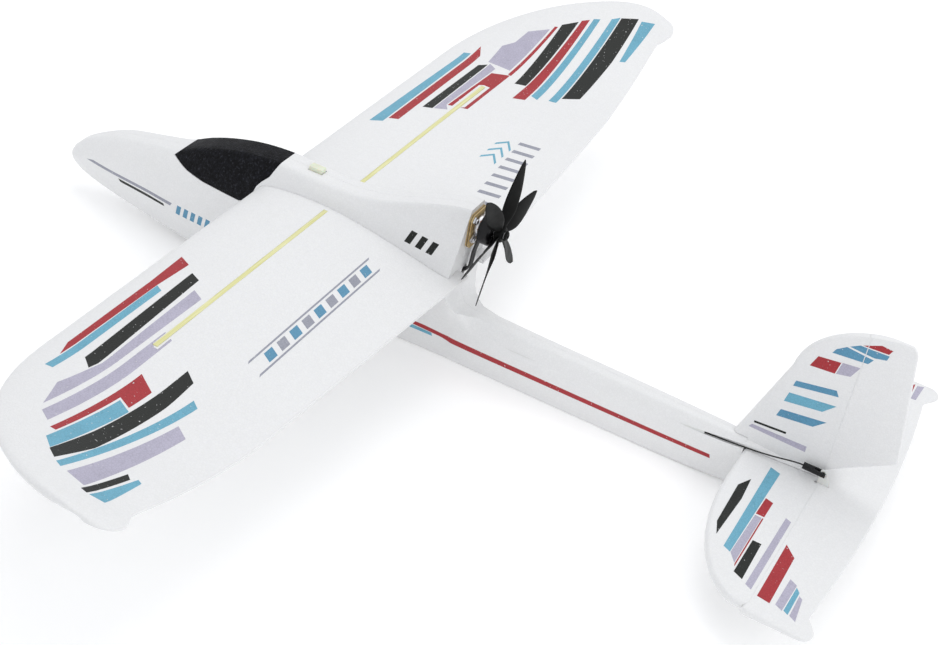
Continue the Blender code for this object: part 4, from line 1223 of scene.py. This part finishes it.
BLADE_ROOT = 5.0
BLADE_SAMPLES = 9
BLADE_SHARES = [
    0.07, 0.1, 0.14, 0.19, 0.25, 0.32, 0.39, 0.46, 0.53, 0.6, 0.67, 0.73, 0.79, 0.84, 0.88,
    0.91, 0.935, 0.955, 0.97, 0.982, 0.991, 0.997, 1.0,
]


def blade_ring(r, angle):
    """One section of a blade, r out from the shaft, twisted like a screw thread."""
    u = (r - BLADE_ROOT) / (PROP_RADIUS - BLADE_ROOT)
    chord = 3.5 + 13.0 * max(0.0, math.sin(math.pi * clamp(u) ** 0.9)) ** 0.9
    if u > 0.9:
        chord *= math.sqrt(max(0.01, 1 - ((u - 0.9) / 0.1003) ** 2))
    thick = 2.3 - 1.5 * u
    pitch = math.atan2(PROP_LEAD, max(r, 20))
    swing = math.radians(angle)
    out = Vector((math.sin(swing), 0, math.cos(swing)))
    across = Vector((math.cos(swing), 0, -math.sin(swing)))
    flat = across * math.cos(pitch) - Vector((0, 1, 0)) * math.sin(pitch)
    up = out.cross(flat)
    middle_point = out * r - flat * (0.06 * chord) + Vector((0, PROP_Y, MOTOR_Z))
    upper, lower = [], []
    for i in range(BLADE_SAMPLES + 1):
        c = -0.5 * math.cos(math.pi * i / BLADE_SAMPLES)
        bulge = math.sqrt(max(0.0, 1 - (2 * c) ** 2))
        upper.append(middle_point + flat * (c * chord) + up * (0.52 * thick * bulge))
        lower.append(middle_point + flat * (c * chord) - up * (0.36 * thick * bulge))
    return upper + lower[-2:0:-1]


def build_propeller(looks):
    hub_profile = [(6.4, -3.4), (7.0, -2.8), (7.0, 2.4), (6.4, 3.3), (5.2, 4.0), (3.4, 4.0), (3.4, -3.4)]
    hub = turned("propeller_moulding", PROP_Y, hub_profile, looks["propeller"])
    blades = []
    for i in range(PROP_BLADES):
        angle = FIRST_BLADE + 360 / PROP_BLADES * i
        blades.append(loft(f"blade_{i}", [blade_ring(PROP_RADIUS * s, angle) for s in BLADE_SHARES]))
    hub = combine(hub, "UNION", *blades)
    hub = cut(hub, rod("axle", (0, 0, MOTOR_Z), (0, 70, MOTOR_Z), 3.4, sides=64))
    show_as(hub, "power_train", "propeller_black", "propeller")

    nut_profile = [(1.75, 4.9), (4.2, 4.9), (4.6, 5.3), (4.4, 6.0), (3.9, 6.7), (3.0, 7.2), (1.75, 7.2)]
    nut = turned("propeller_nut_round", PROP_Y, nut_profile, looks["propeller"])
    show_as(nut, "power_train", "propeller_black", "propeller_nut")
    collet_profile = [(1.6, -4.4), (5.0, -4.4), (5.2, -4.2), (5.2, -3.9), (3.3, -3.8), (3.3, 4.6), (1.6, 4.6)]
    collet = turned("propeller_adapter_turned", PROP_Y, collet_profile, looks["aluminium"])
    show_as(collet, "power_train", "aluminium", "propeller_adapter")


BELL_PROFILE = [
    (13.3, 1.2), (13.7, 1.3), (13.8, 1.6), (13.8, 2.6), (13.55, 2.8), (13.55, 3.3), (13.8, 3.5), (13.8, 9.4),
    (13.5, 10.2), (12.9, 11), (11.8, 11.6), (10.6, 11.8), (1.75, 11.8), (1.75, 10.2), (10.6, 10.2),
    (12.6, 9.0), (12.6, 1.2),
]
VENT_OUT = 8.2  # how far the vents and the coils lie from the motor's axis
COIL_OUT = 10.2


def build_motor(looks):
    base_y = PLATE_Y + 3.35
    bell_y = base_y + 3.9
    bell = turned("motor_bell_vented", bell_y, BELL_PROFILE, looks["bell"], 72)
    vents = []
    for i in range(6):
        a = math.radians(60 * i + 30)
        x, z = VENT_OUT * math.sin(a), MOTOR_Z + VENT_OUT * math.cos(a)
        vents.append(rod(f"vent_{i}", (x, bell_y + 9, z), (x, bell_y + 14, z), 2.5, sides=28))
    show_as(cut(bell, *vents), "power_train", "motor_black", "motor_bell")

    coils = bmesh.new()
    for i in range(9):
        a = math.radians(40 * i)
        out = Vector((math.sin(a), 0, math.cos(a)))
        aside = Vector((math.cos(a), 0, -math.sin(a)))
        place_at = Vector((0, base_y + 8.4, MOTOR_Z)) + out * COIL_OUT
        shape = Matrix((out * 1.5 * MM, aside * 2.5 * MM, Vector((0, 5.2 * MM, 0)))).transposed().to_4x4()
        at = Matrix.Translation(place_at * MM) @ shape
        bmesh.ops.create_uvsphere(coils, u_segments=20, v_segments=12, radius=1.0, matrix=at)
    show_as(finished("motor_windings", coils, looks["copper"]), "airframe", "aluminium")


# ---------------------------------------------------------------- CAD pieces that stay

def each(pattern, *words):
    return [pattern.format(word) for word in words]


SIDES = ("left", "right")
LEADS = each("motor_lead_{}", 1, 2, 3)
PUSHROD_RADIUS = 0.6
HOOK_Z = 36.5  # the low end of the pushrods' hooks
CAD_FINISHES = {  # each look's nodes, and how far their edges are rounded
    "glass_fibre": (each("wing_spar_{}", *SIDES), 0.2),
    "lug": (["wing_lock_key"], 0.0),
    "carbon": (["wing_joiner"], 0.2),
    "plywood": (["motor_plate"], 0.25),
    "aluminium": (["motor_stator"], 0.15),
    "steel": (each("motor_screw_{}", 1, 2, 3, 4) + ["motor_shaft"] + each("{}_arm_screw", *MOVING), 0.12),
    "pale_plastic": (
        each("{}_horn", *MOVING) + each("{}_guide_tube", *MOVING) + each("{}_servo_arm", *MOVING), 0.12,
    ),
    "black_plastic": (
        each("canopy_tongue_{}", *SIDES) + each("canopy_catch_{}", *SIDES) + ["receiver"]
        + each("{}_clevis", *MOVING), 0.25,
    ),
    "shrink": (["battery", "speed_controller"] + each("{}_servo", *MOVING), 0.3),
    "cable": (LEADS + ["battery_lead"], 0.0),
    "webbing": (["battery_strap"], 0.2),
}


def dress(obj, look, bevel):
    """Rounds, smooths and paints a CAD piece that is shown as it is."""
    obj.data.materials.clear()
    obj.data.materials.append(look.material)
    for polygon in obj.data.polygons:
        polygon.material_index = 0
    weld = obj.modifiers.new("weld", "WELD")
    weld.merge_threshold = 0.00001
    if bevel:
        step = obj.modifiers.new("round", "BEVEL")
        step.width = bevel * MM
        step.segments = 2
        step.limit_method = "ANGLE"
        step.angle_limit = math.radians(38)
        step.use_clamp_overlap = True
    obj.data.shade_smooth()
    crisp = obj.modifiers.new("crisp", "EDGE_SPLIT")
    crisp.split_angle = math.radians(36)


def dress_cad(looks):
    for look, (nodes, bevel) in CAD_FINISHES.items():
        for node in nodes:
            dress(NODES[node], looks[look], bevel)


def build_rods(looks):
    """The bent pushrods, each hooked down into its servo's arm."""
    for side, label in ((1, "elevator"), (-1, "rudder")):
        route = rod_route(side)
        hook = Vector((route[0][0], route[0][1], HOOK_Z))
        path = [hook] + curve_points(route, 8)
        bent = wire(f"{label}_pushrod_bent", path, PUSHROD_RADIUS, looks["dark_steel"])
        show_as(bent, f"{label}_pushrod", "steel", f"{label}_pushrod")


# ---------------------------------------------------------------- everything in order

add_camera()
add_studio()
LOOKS = {**foam_looks(), **print_looks(), **plastic_looks(), **metal_looks(), **fibre_looks()}
build_wings(LOOKS)
build_fuselage(LOOKS)
build_tailplane(LOOKS)
build_fin(LOOKS)
build_motor(LOOKS)
build_propeller(LOOKS)
dress_cad(LOOKS)
build_rods(LOOKS)
PRINT = Print(LOOKS)
print_wings(PRINT)
print_tail(PRINT)
print_fin(PRINT)
print_fuselage(PRINT)
